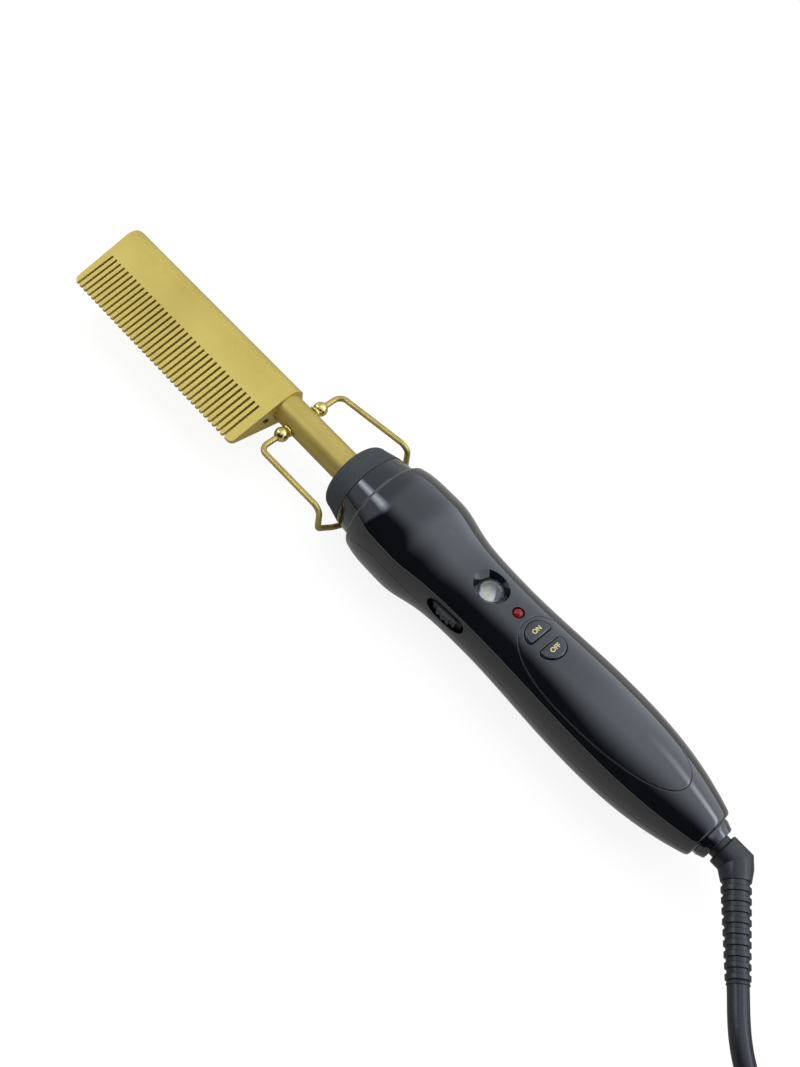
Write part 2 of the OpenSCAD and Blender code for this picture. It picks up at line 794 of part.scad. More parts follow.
module shell_screws() {
  color("silver") in_handle() for (x = boss_x) translate([x, 0, screw_seat(x)]) {
    cylinder(h = screw_len, r = screw_r);
    translate([0, 0, -screw_head_h]) difference() {
      cylinder(h = screw_head_h, r = screw_head_r);
      for (turn = [0, 90]) rotate([0, 0, turn]) translate([-1.5, -0.3, -1]) cube([3, 0.6, 1.9]);
    }
  }
}

module top_panel() {
  color("#101214") in_handle() difference() {
    intersection() {
      difference() {
        handle_outer();
        handle_solid(panel_t, -1, handle_len + 1);
      }
      linear_extrude(height = reach) panel_plan(0);
    }
    button_holes();
  }
}

module window_lens() {
  color("lightcyan") in_handle() translate([window_x, 0, lens_z]) cylinder(h = lens_t, r = lens_d / 2);
}

// ---- Thumb wheel ----

module at_wheel() {
  in_handle() translate([wheel_x, -wheel_y, 0]) children();
}

// The spindle's section, flattened on one side
module spindle_section(gap) {
  intersection() {
    circle(r = spindle_d / 2 + gap);
    translate([-spindle_d, -spindle_d]) square([spindle_d * 1.25 + gap, 2 * spindle_d]);
  }
}

module thumb_wheel() {
  color("#1b1d20") at_wheel() difference() {
    union() {
      translate([0, 0, wheel_z]) cylinder(h = wheel_t, r = wheel_r);
      translate([0, 0, wheel_z]) cylinder(h = wheel_t + plate_t, r = plate_r);
    }
    for (i = [0 : groove_count - 1]) rotate([0, 0, 360 * i / groove_count])
      translate([wheel_r + 0.35, 0, wheel_z - 1]) cylinder(h = wheel_t + 2, r = groove_r);
    translate([0, 0, wheel_z - 1]) linear_extrude(height = spindle_z1 + 0.1 - wheel_z + 1)
      spindle_section(seat_gap / 2);
  }
}

module wheel_spindle() {
  color("silver") at_wheel() {
    translate([0, 0, spindle_z0]) cylinder(h = wheel_z - 0.4 - spindle_z0, r = spindle_d / 2);
    translate([0, 0, wheel_z - 0.4]) linear_extrude(height = spindle_z1 - wheel_z + 0.4)
      spindle_section(0);
  }
}

module potentiometer() {
  color("dimgray") at_wheel() difference() {
    union() {
      translate([-pot_w / 2, -pot_w / 2, -board_t - pot_h]) cube([pot_w, pot_w, pot_h]);
      translate([0, 0, -board_t - 1]) cylinder(h = board_t + 1.8, r = pot_bush_r);
    }
    translate([0, 0, spindle_z0 - 0.1]) cylinder(h = reach, r = spindle_d / 2 + run_gap);
  }
}

// ---- Circuit board ----

// X of a push switch; side -1 is ON and 1 is OFF
function switch_x(side) = button_mid_x + side * switch_off;

module circuit_board() {
  color("darkgreen") in_handle() difference() {
    translate([board_x, -board_w / 2, -board_t]) cube([board_len, board_w, board_t]);
    post(wheel_x, -wheel_y, pot_bush_r + seat_gap, -reach, reach);
    for (p = posts) post(p[0], p[1], board_screw_r + seat_gap, -reach, reach);
    for (x = boss_x) post(x, 0, boss_r + 3 * seat_gap, -reach, reach);
  }
}

module board_screws() {
  color("silver") in_handle() for (p = posts) translate([p[0], p[1], -board_t]) {
    cylinder(h = board_screw_len, r = board_screw_r);
    translate([0, 0, -1.2]) difference() {
      cylinder(h = 1.2, r = 2 * board_screw_r);
      translate([-1.2, -0.2, -1]) cube([2.4, 0.4, 1.6]);
    }
  }
}

module push_switches() {
  color("dimgray") in_handle() for (side = [-1, 1]) translate([switch_x(side), 0, 0]) difference() {
    translate([-switch_w / 2, -switch_w / 2, 0]) cube([switch_w, switch_w, switch_h]);
    translate([0, 0, switch_h - 1 - button_travel]) cylinder(h = 3, r = plunger_r + run_gap);
  }
}

module switch_plunger(side) {
  color("black") in_handle() post(switch_x(side), 0, plunger_r, switch_h - 0.8, switch_h + plunger_h);
}

module on_plunger() {
  switch_plunger(-1);
}

module off_plunger() {
  switch_plunger(1);
}

// Cap through the panel, flange under the shell and stem down to the switch
module push_button(side) {
  color("#1d2023") in_handle() {
    intersection() {
      handle_solid(-button_proud, trim_x0, trim_x1);
      translate([0, 0, flange_z + flange_h / 2]) linear_extrude(height = reach) button_plan(side, 0);
    }
    intersection() {
      translate([0, 0, flange_z]) linear_extrude(height = flange_h) button_plan(side, flange_over);
      handle_solid(shell_wall + seat_gap, trim_x0, trim_x1);
    }
    post(switch_x(side), 0, plunger_r, switch_h + plunger_h, flange_z + flange_h / 2);
  }
}

module on_button() {
  push_button(-1);
}

module off_button() {
  push_button(1);
}

module status_lamp() {
  dome_z = bulge(lamp_x) + 0.6 - lamp_d / 2;
  color("red") in_handle() translate([lamp_x, 0, 0]) {
    translate([0, 0, dome_z]) sphere(r = lamp_d / 2);
    translate([0, 0, dome_z - 5.5]) cylinder(h = 5.5, r = lamp_d / 2);
    for (side = [-1, 1]) translate([0, side * 1.27, 0]) cylinder(h = dome_z - 5, r = 0.3);
  }
}

module power_switch_chip() {
  color("#222222") in_handle()
    translate([power_chip_at[0], power_chip_at[1], -board_t - power_chip_size[2]])
      cube(power_chip_size);
}

module capacitor() {
  color("goldenrod") in_handle()
    translate([capacitor_at[0], capacitor_at[1], 0]) cube(capacitor_size);
}

module control_chip() {
  color("#222222") in_handle()
    translate([control_chip_at[0], control_chip_at[1], 0]) cube(control_chip_size);
}

// ---- Tail and swivel ----

module contact_brushes() {
  color("goldenrod") in_handle() for (i = [0, 1]) brush_strip(i, 0);
}

// From each brush's outer face, forward past the rear boss, down to the board
module mains_leads() {
  y = brush_y + brush_t + lead_r;
  end_x = board_x + board_len - lead_r - 0.3;
  color("sienna") in_handle() for (i = [0, 1]) mirror([0, i, 0])
    bent_rod([[ring_x[i] + ring_w, y, 1], [end_x, y, 1], [end_x, y, 0]], 0.8, lead_r, 8);
}

module contact_rings() {
  color("goldenrod") in_handle() for (x = ring_x) difference() {
    bar(x, x + ring_w, ring_r);
    bar(x - 1, x + ring_w + 1, stem_r + eps);
  }
}

module swivel_clip() {
  x = handle_len - end_wall - 0.4 - clip_gap - clip_t;
  color("silver") in_handle() difference() {
    bar(x, x + clip_t, clip_r);
    bar(x - 1, x + clip_t + 1, stem_r + eps);
  }
}

module swivel_nut() {
  color("#1b1d20") in_handle() difference() {
    union() {
      intersection() {
        translate([nut_x + eps, 0, 0]) rotate([0, 90, 0]) cylinder(h = nut_len, r = nut_r, $fn = 12);
        translate([nut_x, 0, 0]) rotate([0, 90, 0])
          cylinder(h = nut_len + 1, r1 = nut_r + 0.4, r2 = nut_r - 1.4);
      }
      bar(handle_len - end_wall - 0.4, nut_x + 1, nut_spigot_r);
    }
    bar(handle_len - 10, nut_x + 10, stem_r + run_gap);
  }
}

// Places children at the end of the elbow's bend, with Z along the lead
module after_bend() {
  in_handle() translate([relief_start[0], relief_start[1], 0]) rotate([0, 0, -elbow_angle])
    rotate([0, 90, 0]) children();
}

module swivel_elbow() {
  color("#1b1d20") {
    in_handle() {
      bar(stem_x0, neck_x, stem_r);
      bar(neck_x, elbow_x, neck_r);
      bar(elbow_x, elbow_corner_x, elbow_r);
      translate([elbow_corner_x, 0, 0]) rotate([0, 90, 0]) sphere(r = elbow_knuckle_r);
    }
    after_bend() translate([0, 0, -elbow_cone])
      cylinder(h = elbow_cone, r1 = elbow_r, r2 = relief_r0);
  }
}

module strain_relief() {
  rib_pitch = relief_len / (rib_count + 0.5);
  core = 0.5;
  color("#1b1d20") after_bend() {
    cylinder(h = relief_len, r1 = relief_r0 - core, r2 = relief_r1 - core / 2);
    for (i = [0 : rib_count - 1]) {
      r = relief_r0 + (relief_r1 - relief_r0) * (i + 1) / rib_count;
      translate([0, 0, (i + 0.5) * rib_pitch]) cylinder(h = 0.6 * rib_pitch, r = r);
    }
  }
}

// ---- Mains lead ----

// Places children at the strain relief's end, on the table
module in_lead() {
  translate([handle_x + relief_end[0] - mid_x, relief_end[1] - mid_y, 0]) children();
}

// Rises smoothly from 0 to 1
function ease(t) = let (u = max(0, min(1, t))) u * u * (3 - 2 * u);

// The run at a distance s from the strain relief, seen from above, then its height
function run_plan(s) =
  s < run_straight ? s * relief_dir
  : let (turned = min(s - run_straight, run_bend_len), a = elbow_angle * (1 - turned / run_bend_len))
    run_centre - run_bend_r * [sin(a), cos(a)] + [s - run_straight - turned, 0];
function run_point(s) =
  let (p = run_plan(s)) [p[0], p[1], hip_r - (hip_r - coil_low) * ease((s - run_straight) / run_fall)];

module cord_run() {
  steps = 15;
  points = concat([run_point(eps)], [for (i = [0 : steps])
    run_point(run_straight + (run_len - run_straight - eps) * i / steps)]);
  color("#1b1d20") in_lead() swept_tube(points, cord_r, 10);
}

// Turns counted from the coil's start: radius and height there
coil_turns = coil_layers * layer_turns + 0.25;
function zigzag(t) = abs(t - 2 * layer_turns * round(t / (2 * layer_turns)));
function climb(t, layer) = max(0, min(1, 2 * (t - layer * layer_turns) + 0.5));
function lifted(t) = climb(t, 1) + climb(t, 2) + climb(t, 3) + climb(t, 4);
function coil_point(t) =
  let (r = coil_r - coil_pitch * zigzag(t), a = 360 * t - 90)
  [coil_mid[0] + r * cos(a), coil_mid[1] + r * sin(a), coil_low + coil_pitch * lifted(t)];

rings_per_turn = 24;
end_step = 0.4;
coil_start = coil_point(0);
coil_end = coil_point(coil_turns);
coil_points = concat([coil_start, coil_start + [end_step, 0, 0]],
  [for (i = [1 : coil_turns * rings_per_turn - 1]) coil_point(i / rings_per_turn)],
  [coil_end - [0, end_step, 0], coil_end]);
coil_gap = min([for (i = [0 : len(coil_points) - 1], j = [i + 18 : 1 : len(coil_points) - 1])
  norm(coil_points[i] - coil_points[j])]) - cord_d;
echo(least_gap_of_the_coil_to_itself = coil_gap);
assert(coil_gap > 0.4);

module cord_coil() {
  color("#1b1d20") in_lead() swept_tube(coil_points, cord_r, 6);
}

// The tail turns from the coil's end to lie across its top
tail_mid = [coil_end[0] - tail_bend_r, coil_end[1]];
tail_end = [tail_mid[0] - tail_straight, tail_mid[1] + tail_bend_r];

module cord_tail() {
  steps = 10;
  points = concat([coil_end + [0, eps, 0], coil_end + [0, end_step, 0]], [for (i = [1 : steps])
    [tail_mid[0] + tail_bend_r * cos(90 * i / steps), tail_mid[1] + tail_bend_r * sin(90 * i / steps),
     coil_end[2] + (plug_z - coil_end[2]) * ease(i / steps)]], [[tail_end[0], tail_end[1], plug_z]]);
  color("#1b1d20") in_lead() swept_tube(points, cord_r, 10);
}

module at_plug() {
  in_lead() translate([tail_end[0] - eps, tail_end[1], plug_z]) rotate([0, 0, 180]) children();
}

module plug_body() {
  slot_gap = 0.03;
  color("#1b1d20") at_plug() difference() {
    union() {
      rotate([0, 90, 0]) cylinder(h = plug_neck, r1 = cord_r + 1, r2 = cord_r + 2.5);
      translate([plug_neck, 0, 0]) rotate([90, 0, 90]) linear_extrude(height = plug_len) {
        square([plug_w - plug_t, plug_t], center = true);
        for (side = [-1, 1]) translate([side * (plug_w - plug_t) / 2, 0]) circle(r = plug_t / 2);
      }
    }
    for (side = [-1, 1])
      translate([plug_neck + plug_len - blade_root - eps, side * blade_gap / 2, 0])
        translate([0, -blade_t / 2 - slot_gap, -blade_w / 2 - slot_gap])
          cube([blade_root + 2, blade_t + 2 * slot_gap, blade_w + 2 * slot_gap]);
  }
}

module plug_blades() {
  long = blade_root + blade_len;
  color("goldenrod") at_plug() for (side = [-1, 1])
    translate([plug_neck + plug_len - blade_root, side * blade_gap / 2, 0]) difference() {
      translate([0, -blade_t / 2, -blade_w / 2]) cube([long, blade_t, blade_w]);
      translate([long - 4, -1, 0]) rotate([-90, 0, 0]) cylinder(h = 4, r = blade_hole_r);
    }
}

comb_head();
comb_screw();
heater_core();
heater_sleeve();
thermal_fuse();
heater_leads();
neck_tube();
stand_stud();
stand_washers();
stand_nuts();
stand_wire();
nose_collar();
upper_shell();
lower_shell();
shell_screws();
top_panel();
window_lens();
thumb_wheel();
wheel_spindle();
potentiometer();
circuit_board();
board_screws();
push_switches();
on_plunger();
off_plunger();
on_button();
off_button();
status_lamp();
power_switch_chip();
capacitor();
control_chip();
contact_brushes();
mains_leads();
contact_rings();
swivel_elbow();
swivel_clip();
swivel_nut();
strain_relief();
cord_run();
cord_coil();
cord_tail();
plug_body();
plug_blades();
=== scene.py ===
"""Finished pieces, materials, stage and camera of an electric hot comb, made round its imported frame."""

import math
from functools import partial

import bmesh
import bpy
from bpy.props import FloatProperty, FloatVectorProperty, PointerProperty
from mathutils import Matrix, Vector


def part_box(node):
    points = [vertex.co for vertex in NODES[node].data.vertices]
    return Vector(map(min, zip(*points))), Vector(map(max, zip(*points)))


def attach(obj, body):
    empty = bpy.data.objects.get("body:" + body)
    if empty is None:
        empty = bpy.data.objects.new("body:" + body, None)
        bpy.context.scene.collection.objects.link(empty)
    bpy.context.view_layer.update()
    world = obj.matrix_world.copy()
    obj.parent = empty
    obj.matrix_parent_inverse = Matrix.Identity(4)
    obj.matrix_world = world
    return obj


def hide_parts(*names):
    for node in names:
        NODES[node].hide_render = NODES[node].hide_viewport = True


bl_info = {
    "name": "Hot Comb",
    "version": (1, 0, 0),
    "blender": (4, 5, 0),
    "location": "3D View > Sidebar > Hot Comb",
    "description": "Finished pieces, materials, stage and camera of an electric hot comb",
    "category": "Object",
}

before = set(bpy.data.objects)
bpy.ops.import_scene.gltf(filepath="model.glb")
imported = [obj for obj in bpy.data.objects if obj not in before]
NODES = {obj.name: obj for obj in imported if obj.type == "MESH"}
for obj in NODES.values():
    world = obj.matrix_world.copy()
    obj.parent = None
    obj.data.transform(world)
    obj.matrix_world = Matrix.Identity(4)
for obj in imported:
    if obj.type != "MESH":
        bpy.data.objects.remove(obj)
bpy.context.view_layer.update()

# ---- Measures, in millimetres ----

MM = 0.001
COLLAR_LO, COLLAR_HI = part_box("nose_collar")
COLLAR_MID = (COLLAR_LO + COLLAR_HI) / 2
JOINT = Vector((COLLAR_HI.x + 0.1 * MM, COLLAR_MID.y, COLLAR_MID.z))
# Handle coordinates: millimetres, X = 0 at the joint with the collar, on the handle's axis
HANDLE = Matrix.Translation(JOINT) @ Matrix.Scale(MM, 4)

TUBE_R = 5.4
HEAD_END_X = -41.4
PIVOT_X = -34.3
COLLAR_X = -8.9
COLLAR_FRONT_R = 12.6
COLLAR_R = 14.1
SPIGOT_R = 11.2
BAND_R = 14.7
BAND_X = 6.4
SHOULDER_X = 8.0
SHOULDER_R = 16.9
SHOULDER_FILLET = 0.6
HIP_X, HIP_R = 21.5, 17.86
WAIST_X, WAIST_R = 59.5, 13.88
PALM_X, PALM_R = 99.0, 15.05
TAIL_X, TAIL_R = 144.0, 8.4
WALL = 2.2
SEAM_GAP = 0.14
WHEEL_X, WHEEL_Y, WHEEL_Z, WHEEL_T, WHEEL_R = 47.5, -2.2, 2.2, 3.4, 12.0
PLATE_R, PLATE_Z = 7.4, 7.2
WINDOW_X, LENS_Z, LENS_R, LENS_T = 52.5, 10.58, 4.0, 1.2
LAMP_X, LAMP_R = 63.55, 1.7
BUTTON_X, BUTTON_SIDE, BUTTON_R, BUTTON_FLAT, BUTTON_CORNER = 74.8, 2.25, 4.5, 0.6, 1.1
BUTTON_PROUD = 0.35
PANEL_X, PANEL_FRONT, PANEL_REAR, PANEL_HALF_W, PANEL_T = 94.5, 27.6, 36.5, 11.2, 1.0
NECK_X0, NECK_R = 147.7, 3.7
ELBOW_X, ELBOW_R, ELBOW_CORNER_X, ELBOW_LEG, ELBOW_CONE = 149.1, 5.0, 154.2, 5.6, 3.6
LEAD_ANGLE = 49.0
RELIEF_LEN, RELIEF_R0, RELIEF_R1, RELIEF_RIBS = 27.6, 4.3, 3.5, 9
STAND_HALF_W, WIRE_R, WIRE_BEND = 17.0, 1.0, 3.0
CORD_R = 3.0


def bulge(x):
    """Outer radius of the handle at x."""
    if x < HIP_X:
        return HIP_R - (HIP_R - SHOULDER_R) * ((HIP_X - x) / (HIP_X - SHOULDER_X)) ** 4
    if x < WAIST_X:
        t = (x - HIP_X) / (WAIST_X - HIP_X)
        return WAIST_R + (HIP_R - WAIST_R) * (1 - t**3) / (1 + (t / 0.35) ** 3)
    if x < PALM_X:
        t = (x - WAIST_X) / (PALM_X - WAIST_X)
        return WAIST_R + (PALM_R - WAIST_R) * (1 - math.cos(math.pi * t)) / 2
    return PALM_R - (PALM_R - TAIL_R) * ((x - PALM_X) / (TAIL_X - PALM_X)) ** 2.45


def seam(x):
    """Height of the seam between the shells at x."""
    if x < 19.5:
        return 0.9 + 4.3 * math.exp(-(((19.5 - x) / 9.5) ** 2))
    return 0.9 + 4.3 * math.exp(-(((x - 19.5) / 15) ** 3))


def arc(mid, radii, start, end, steps):
    """Points on an ellipse's arc, from start to end in degrees."""
    turns = [math.radians(start + (end - start) * i / steps) for i in range(steps + 1)]
    return [(mid[0] + radii[0] * math.cos(a), mid[1] + radii[1] * math.sin(a)) for a in turns]


def handle_outline(inset, x1, steps):
    """Points (x, r) of the handle's outline behind the band, drawn in by inset."""
    fillet, foot = SHOULDER_FILLET, BAND_R - inset
    rise = arc((BAND_X - fillet, foot + fillet), (fillet, fillet), -90, 0, 5)
    rise += arc((SHOULDER_X, foot), (SHOULDER_X - BAND_X, SHOULDER_R - BAND_R), 160, 100, 6)
    along = [SHOULDER_X + (x1 - SHOULDER_X) * i / steps for i in range(steps + 1)]
    return rise + [(x, bulge(x) - inset) for x in along]


def linear(r, g, b):
    """A colour written in 0 to 255, as linear RGBA."""
    return tuple(
        c / 12.92 if c <= 0.04045 else ((c + 0.055) / 1.055) ** 2.4 for c in (r / 255, g / 255, b / 255)
    ) + (1.0,)


# ---- What a user would change ----


def colour_property(name, description, *rgb):
    return FloatVectorProperty(
        name=name, description=description, subtype="COLOR", size=4, min=0, max=1, default=linear(*rgb)
    )


def size_property(name, description, default, **limits):
    return FloatProperty(name=name, description=description + ", in millimetres", default=default, **limits)


def fine_property(name, description, default):
    return FloatProperty(name=name, description=description, default=default, unit="LENGTH")


class HotCombFinish(bpy.types.PropertyGroup):
    gold: colour_property("Gold", "Satin gold coating of the comb head", 222, 200, 94)
    gold_shade: colour_property("Gold shade", "Darker clouds in the gold coating", 204, 180, 76)
    # A darker copy of the comb's gold: painted shade on the tube
    tube_gold: colour_property("Tube gold", "Gold of the tube", 202, 180, 86)
    wire_gold: colour_property("Wire gold", "Gold of the stand's wire", 206, 184, 96)
    brass: colour_property("Brass", "Polished washers and ball nuts", 236, 222, 150)
    gloss_black: colour_property("Gloss black", "Moulded handle", 13, 16, 20)
    matte_black: colour_property("Matte black", "Heat-resistant collar", 46, 53, 56)
    rubber_black: colour_property("Rubber black", "Elbow, strain relief and lead", 20, 24, 29)
    letter: colour_property("Lettering", "Letters and numbers", 240, 234, 160)
    lamp: colour_property("Lamp", "Lens of the lamp", 128, 6, 5)


class HotCombSizes(bpy.types.PropertyGroup):
    edge_round: fine_property("Edge rounding", "Rounding of cut and moulded edges", 0.00014)
    panel_round: size_property("Panel edge", "Rounding of the panel's edge", 0.2, min=0.1, max=0.6)
    letter_height: size_property("Letter size", "Size of ON and OFF", 2.05, min=1.5, max=4)
    number_height: size_property("Number size", "Size of the wheel's numbers", 3.2, min=1.5, max=4)
    grain_depth: fine_property("Grain depth", "Depth of the coating's fine grain", 0.00002)


class HotCombStage(bpy.types.PropertyGroup):
    soft_box: FloatProperty(name="Soft box", description="Power of the large lamp", default=17, unit="POWER")
    side_box: FloatProperty(name="Side box", description="Power of the side lamp", default=4, unit="POWER")
    tent: FloatProperty(name="Tent", description="Brightness that gloss reflects", default=0.9, min=0)
    tent_dark: FloatProperty(name="Tent shade", description="Brightness of its dark side", default=0.03, min=0)
    surround: FloatProperty(name="Surround", description="Strength of even light", default=0.42, min=0, max=2)
    lens: FloatProperty(name="Lens", description="Focal length of the camera", default=41.43, unit="CAMERA")


# ---- Meshes ----


def mesh_object(bm, name):
    mesh = bpy.data.meshes.new(name)
    bm.to_mesh(mesh)
    bm.free()
    piece = bpy.data.objects.new(name, mesh)
    bpy.context.scene.collection.objects.link(piece)
    return piece


def evaluated_bmesh(piece):
    """The piece's mesh with its modifiers, as a bmesh. The piece is removed."""
    mesh = bpy.data.meshes.new_from_object(piece.evaluated_get(bpy.context.evaluated_depsgraph_get()))
    bm = bmesh.new()
    bm.from_mesh(mesh)
    bpy.data.objects.remove(piece)
    bpy.data.meshes.remove(mesh)
    return bm


def carved(bm, cutters, operation="DIFFERENCE"):
    """bm after each cutter has been taken off, joined or crossed with it."""
    body = mesh_object(bm, "blank")
    tools = [mesh_object(cutter, "cutter") for cutter in cutters]
    for tool in tools:
        change = body.modifiers.new("cut", "BOOLEAN")
        change.solver, change.operation, change.object = "EXACT", operation, tool
    result = evaluated_bmesh(body)
    for tool in tools:
        bpy.data.objects.remove(tool)
    return result


def cleaned(bm, dist=1e-4):
    """The bmesh with its doubles merged and its faces turned outwards."""
    bmesh.ops.remove_doubles(bm, verts=bm.verts[:], dist=dist)
    bmesh.ops.recalc_face_normals(bm, faces=bm.faces[:])
    return bm


def finished(bm, name, body, material, replaced=(), sharp=32, place=HANDLE, rounding=0.0):
    """A shown piece made from a bmesh whose measures are those of place."""
    bm.transform(place)
    piece = mesh_object(bm, name)
    piece.data.materials.append(material)
    piece.data.shade_smooth()
    piece.data.set_sharp_from_angle(angle=math.radians(sharp))
    if rounding:
        edge = piece.modifiers.new("rounding", "BEVEL")
        edge.width, edge.segments, edge.limit_method = rounding, 2, "ANGLE"
        edge.angle_limit, edge.harden_normals = math.radians(sharp), True
    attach(piece, body)
    if replaced:
        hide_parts(*replaced)
    return piece


def loop(bm, points):
    """A closed ring of edges through the points."""
    verts = [bm.verts.new(p) for p in points]
    return [bm.edges.new((verts[i - 1], verts[i])) for i in range(len(verts))]


def new_verts(geom):
    """The vertices among what an operator made."""
    return [g for g in geom if isinstance(g, bmesh.types.BMVert)]


def spun(outline, steps=96, closed=True, axis="X"):
    """A solid of revolution from its outline (along, radius)."""
    bm = bmesh.new()
    place = (lambda a, r: (a, 0, r)) if axis == "X" else (lambda a, r: (r, 0, a))
    verts = [bm.verts.new(place(a, r)) for a, r in outline]
    pairs = list(zip(verts, verts[1:])) + ([(verts[-1], verts[0])] if closed else [])
    edges = [bm.edges.new(pair) for pair in pairs]
    bmesh.ops.spin(
        bm, geom=verts + edges, cent=(0, 0, 0), axis=(1, 0, 0) if axis == "X" else (0, 0, 1),
        angle=2 * math.pi, steps=steps, use_merge=True,
    )
    return cleaned(bm)


def moved(bm, x=0.0, y=0.0, z=0.0):
    bmesh.ops.translate(bm, verts=bm.verts[:], vec=(x, y, z))
    return bm


def turned(bm, angle, axis="Z"):
    bmesh.ops.rotate(bm, verts=bm.verts[:], matrix=Matrix.Rotation(angle, 3, axis))
    return bm


def upright(outline, x, steps):
    """A solid of revolution about a vertical line at x, open on its axis."""
    return moved(spun(outline, steps=steps, closed=False, axis="Z"), x=x)


def disc(radius, z0, z1, x=0.0, y=0.0, segments=64):
    """A round bar along Z."""
    bm = bmesh.new()
    bmesh.ops.create_cone(
        bm, cap_ends=True, segments=segments, radius1=radius, radius2=radius, depth=z1 - z0,
        matrix=Matrix.Translation((x, y, (z0 + z1) / 2)),
    )
    return bm


def stacked(plan, levels):
    """A solid through the plan's outline at each level (gap, height)."""
    bm = bmesh.new()
    rings = [loop(bm, [(x, y, z) for x, y in plan(gap)]) for gap, z in levels]
    for low, high in zip(rings, rings[1:]):
        bmesh.ops.bridge_loops(bm, edges=low + high)
    for ring in (rings[0], rings[-1]):
        bmesh.ops.contextual_create(bm, geom=ring)
    bmesh.ops.recalc_face_normals(bm, faces=bm.faces[:])
    return bm


def gridded(bm, step_x, step_y):
    """Cuts the mesh along a grid, so that it can follow a curved surface."""
    for axis, step, normal in ((0, step_x, Vector((1, 0, 0))), (1, step_y, Vector((0, 1, 0)))):
        along = [v.co[axis] for v in bm.verts]
        for i in range(math.ceil(min(along) / step), math.floor(max(along) / step) + 1):
            whole = bm.verts[:] + bm.edges[:] + bm.faces[:]
            bmesh.ops.bisect_plane(bm, geom=whole, dist=1e-5, plane_co=normal * (i * step), plane_no=normal)
    return bm


def laid(bm):
    """Bends a flat mesh onto the handle's top: its Z becomes the height over the surface."""
    for v in bm.verts:
        v.co.z = math.sqrt((bulge(v.co.x) + v.co.z) ** 2 - v.co.y**2)
    return bm


def joined(*parts):
    """Several bmeshes in one."""
    whole = bmesh.new()
    for part in parts:
        mesh = bpy.data.meshes.new("part")
        part.to_mesh(mesh)
        part.free()
        whole.from_mesh(mesh)
        bpy.data.meshes.remove(mesh)
    return whole


def copied(node, name, body, given, sharp=38, rounding=None):
    """A CAD node's own shape as a shown piece, with its triangles joined and its edges rounded."""
    bm = bmesh.new()
    bm.from_mesh(NODES[node].data)
    bmesh.ops.remove_doubles(bm, verts=bm.verts[:], dist=1e-6)
    bmesh.ops.dissolve_limit(bm, angle_limit=math.radians(0.4), verts=bm.verts[:], edges=bm.edges[:])
    rounding = rounding or bpy.context.scene.hot_comb_sizes.edge_round
    return finished(bm, name, body, given, [node], sharp=sharp, place=Matrix(), rounding=rounding)


def quarter_round(gap, z, r, outward=False):
    """Levels that round an edge at height z; outward flares the mouth of a hole."""
    sign = 1 if outward else -1
    return arc((gap + sign * r, z - r), (-sign * r, r), 0, 90, 5)


# ---- Shader groups and materials ----


def new_group(name, inputs, outputs):
    group = bpy.data.node_groups.new(name, "ShaderNodeTree")
    for label, kind, value in inputs:
        socket = group.interface.new_socket(label, in_out="INPUT", socket_type=kind)
        socket.default_value = value
    for label, kind in outputs:
        group.interface.new_socket(label, in_out="OUTPUT", socket_type=kind)
    return group, group.nodes.new("NodeGroupInput"), group.nodes.new("NodeGroupOutput")


def feed(tree, socket, value):
    """Links an input to a socket, or sets it to a plain value."""
    if isinstance(value, bpy.types.NodeSocket):
        tree.links.new(value, socket)
    else:
        socket.default_value = value


def fed(tree, node, **inputs):
    """The node with its inputs fed; in their names an underscore stands for a space."""
    for label, value in inputs.items():
        feed(tree, node.inputs[label.replace("_", " ")], value)
    return node


def new_node(tree, kind, **inputs):
    return fed(tree, tree.nodes.new("ShaderNode" + kind), **inputs)


def math_node(tree, operation, *values, clamp=False):
    """The output of a Math node fed by sockets or plain numbers."""
    node = tree.nodes.new("ShaderNodeMath")
    node.operation, node.use_clamp = operation, clamp
    for socket, value in zip(node.inputs, values):
        feed(tree, socket, value)
    return node.outputs[0]


def mixed(tree, factor, a, b):
    """The output of a colour mix."""
    node = tree.nodes.new("ShaderNodeMix")
    node.data_type = "RGBA"
    for index, value in ((0, factor), (6, a), (7, b)):
        feed(tree, node.inputs[index], value)
    return node.outputs[2]


def surface_group():
    """Clouds of colour, fine grain and smudged roughness over a surface."""
    group, given, out = new_group(
        "Moulded Surface",
        [
            ("Colour", "NodeSocketColor", (0.5, 0.5, 0.5, 1)),
            ("Shade", "NodeSocketColor", (0.4, 0.4, 0.4, 1)),
            ("Cloud Scale", "NodeSocketFloat", 60.0),
            ("Grain Scale", "NodeSocketFloat", 2500.0),
            ("Fleck", "NodeSocketFloat", 0.1),
            ("Roughness", "NodeSocketFloat", 0.4),
            ("Smudge", "NodeSocketFloat", 0.1),
        ],
        [("Colour", "NodeSocketColor"), ("Roughness", "NodeSocketFloat"), ("Height", "NodeSocketFloat")],
    )
    calc = partial(math_node, group)
    place = new_node(group, "TexCoord").outputs["Object"]
    cloud, grain = (
        new_node(group, "TexNoise", Vector=place, Scale=given.outputs[scale], Detail=detail).outputs["Fac"]
        for scale, detail in (("Cloud Scale", 4.0), ("Grain Scale", 2.0))
    )
    spread_cloud = calc("MULTIPLY_ADD", cloud, 2.4, -0.7, clamp=True)
    spread_grain = calc("MULTIPLY_ADD", grain, 3.0, -1.0, clamp=True)
    fleck = calc("MULTIPLY", spread_grain, given.outputs["Fleck"])
    clouded = mixed(group, spread_cloud, given.outputs["Colour"], given.outputs["Shade"])
    flecked = mixed(group, fleck, clouded, (1.0, 0.97, 0.85, 1.0))
    smudge = calc("MULTIPLY", calc("SUBTRACT", cloud, 0.5), given.outputs["Smudge"])
    rough = calc("ADD", given.outputs["Roughness"], smudge, clamp=True)
    fed(group, out, Colour=flecked, Roughness=rough, Height=grain)
    return group


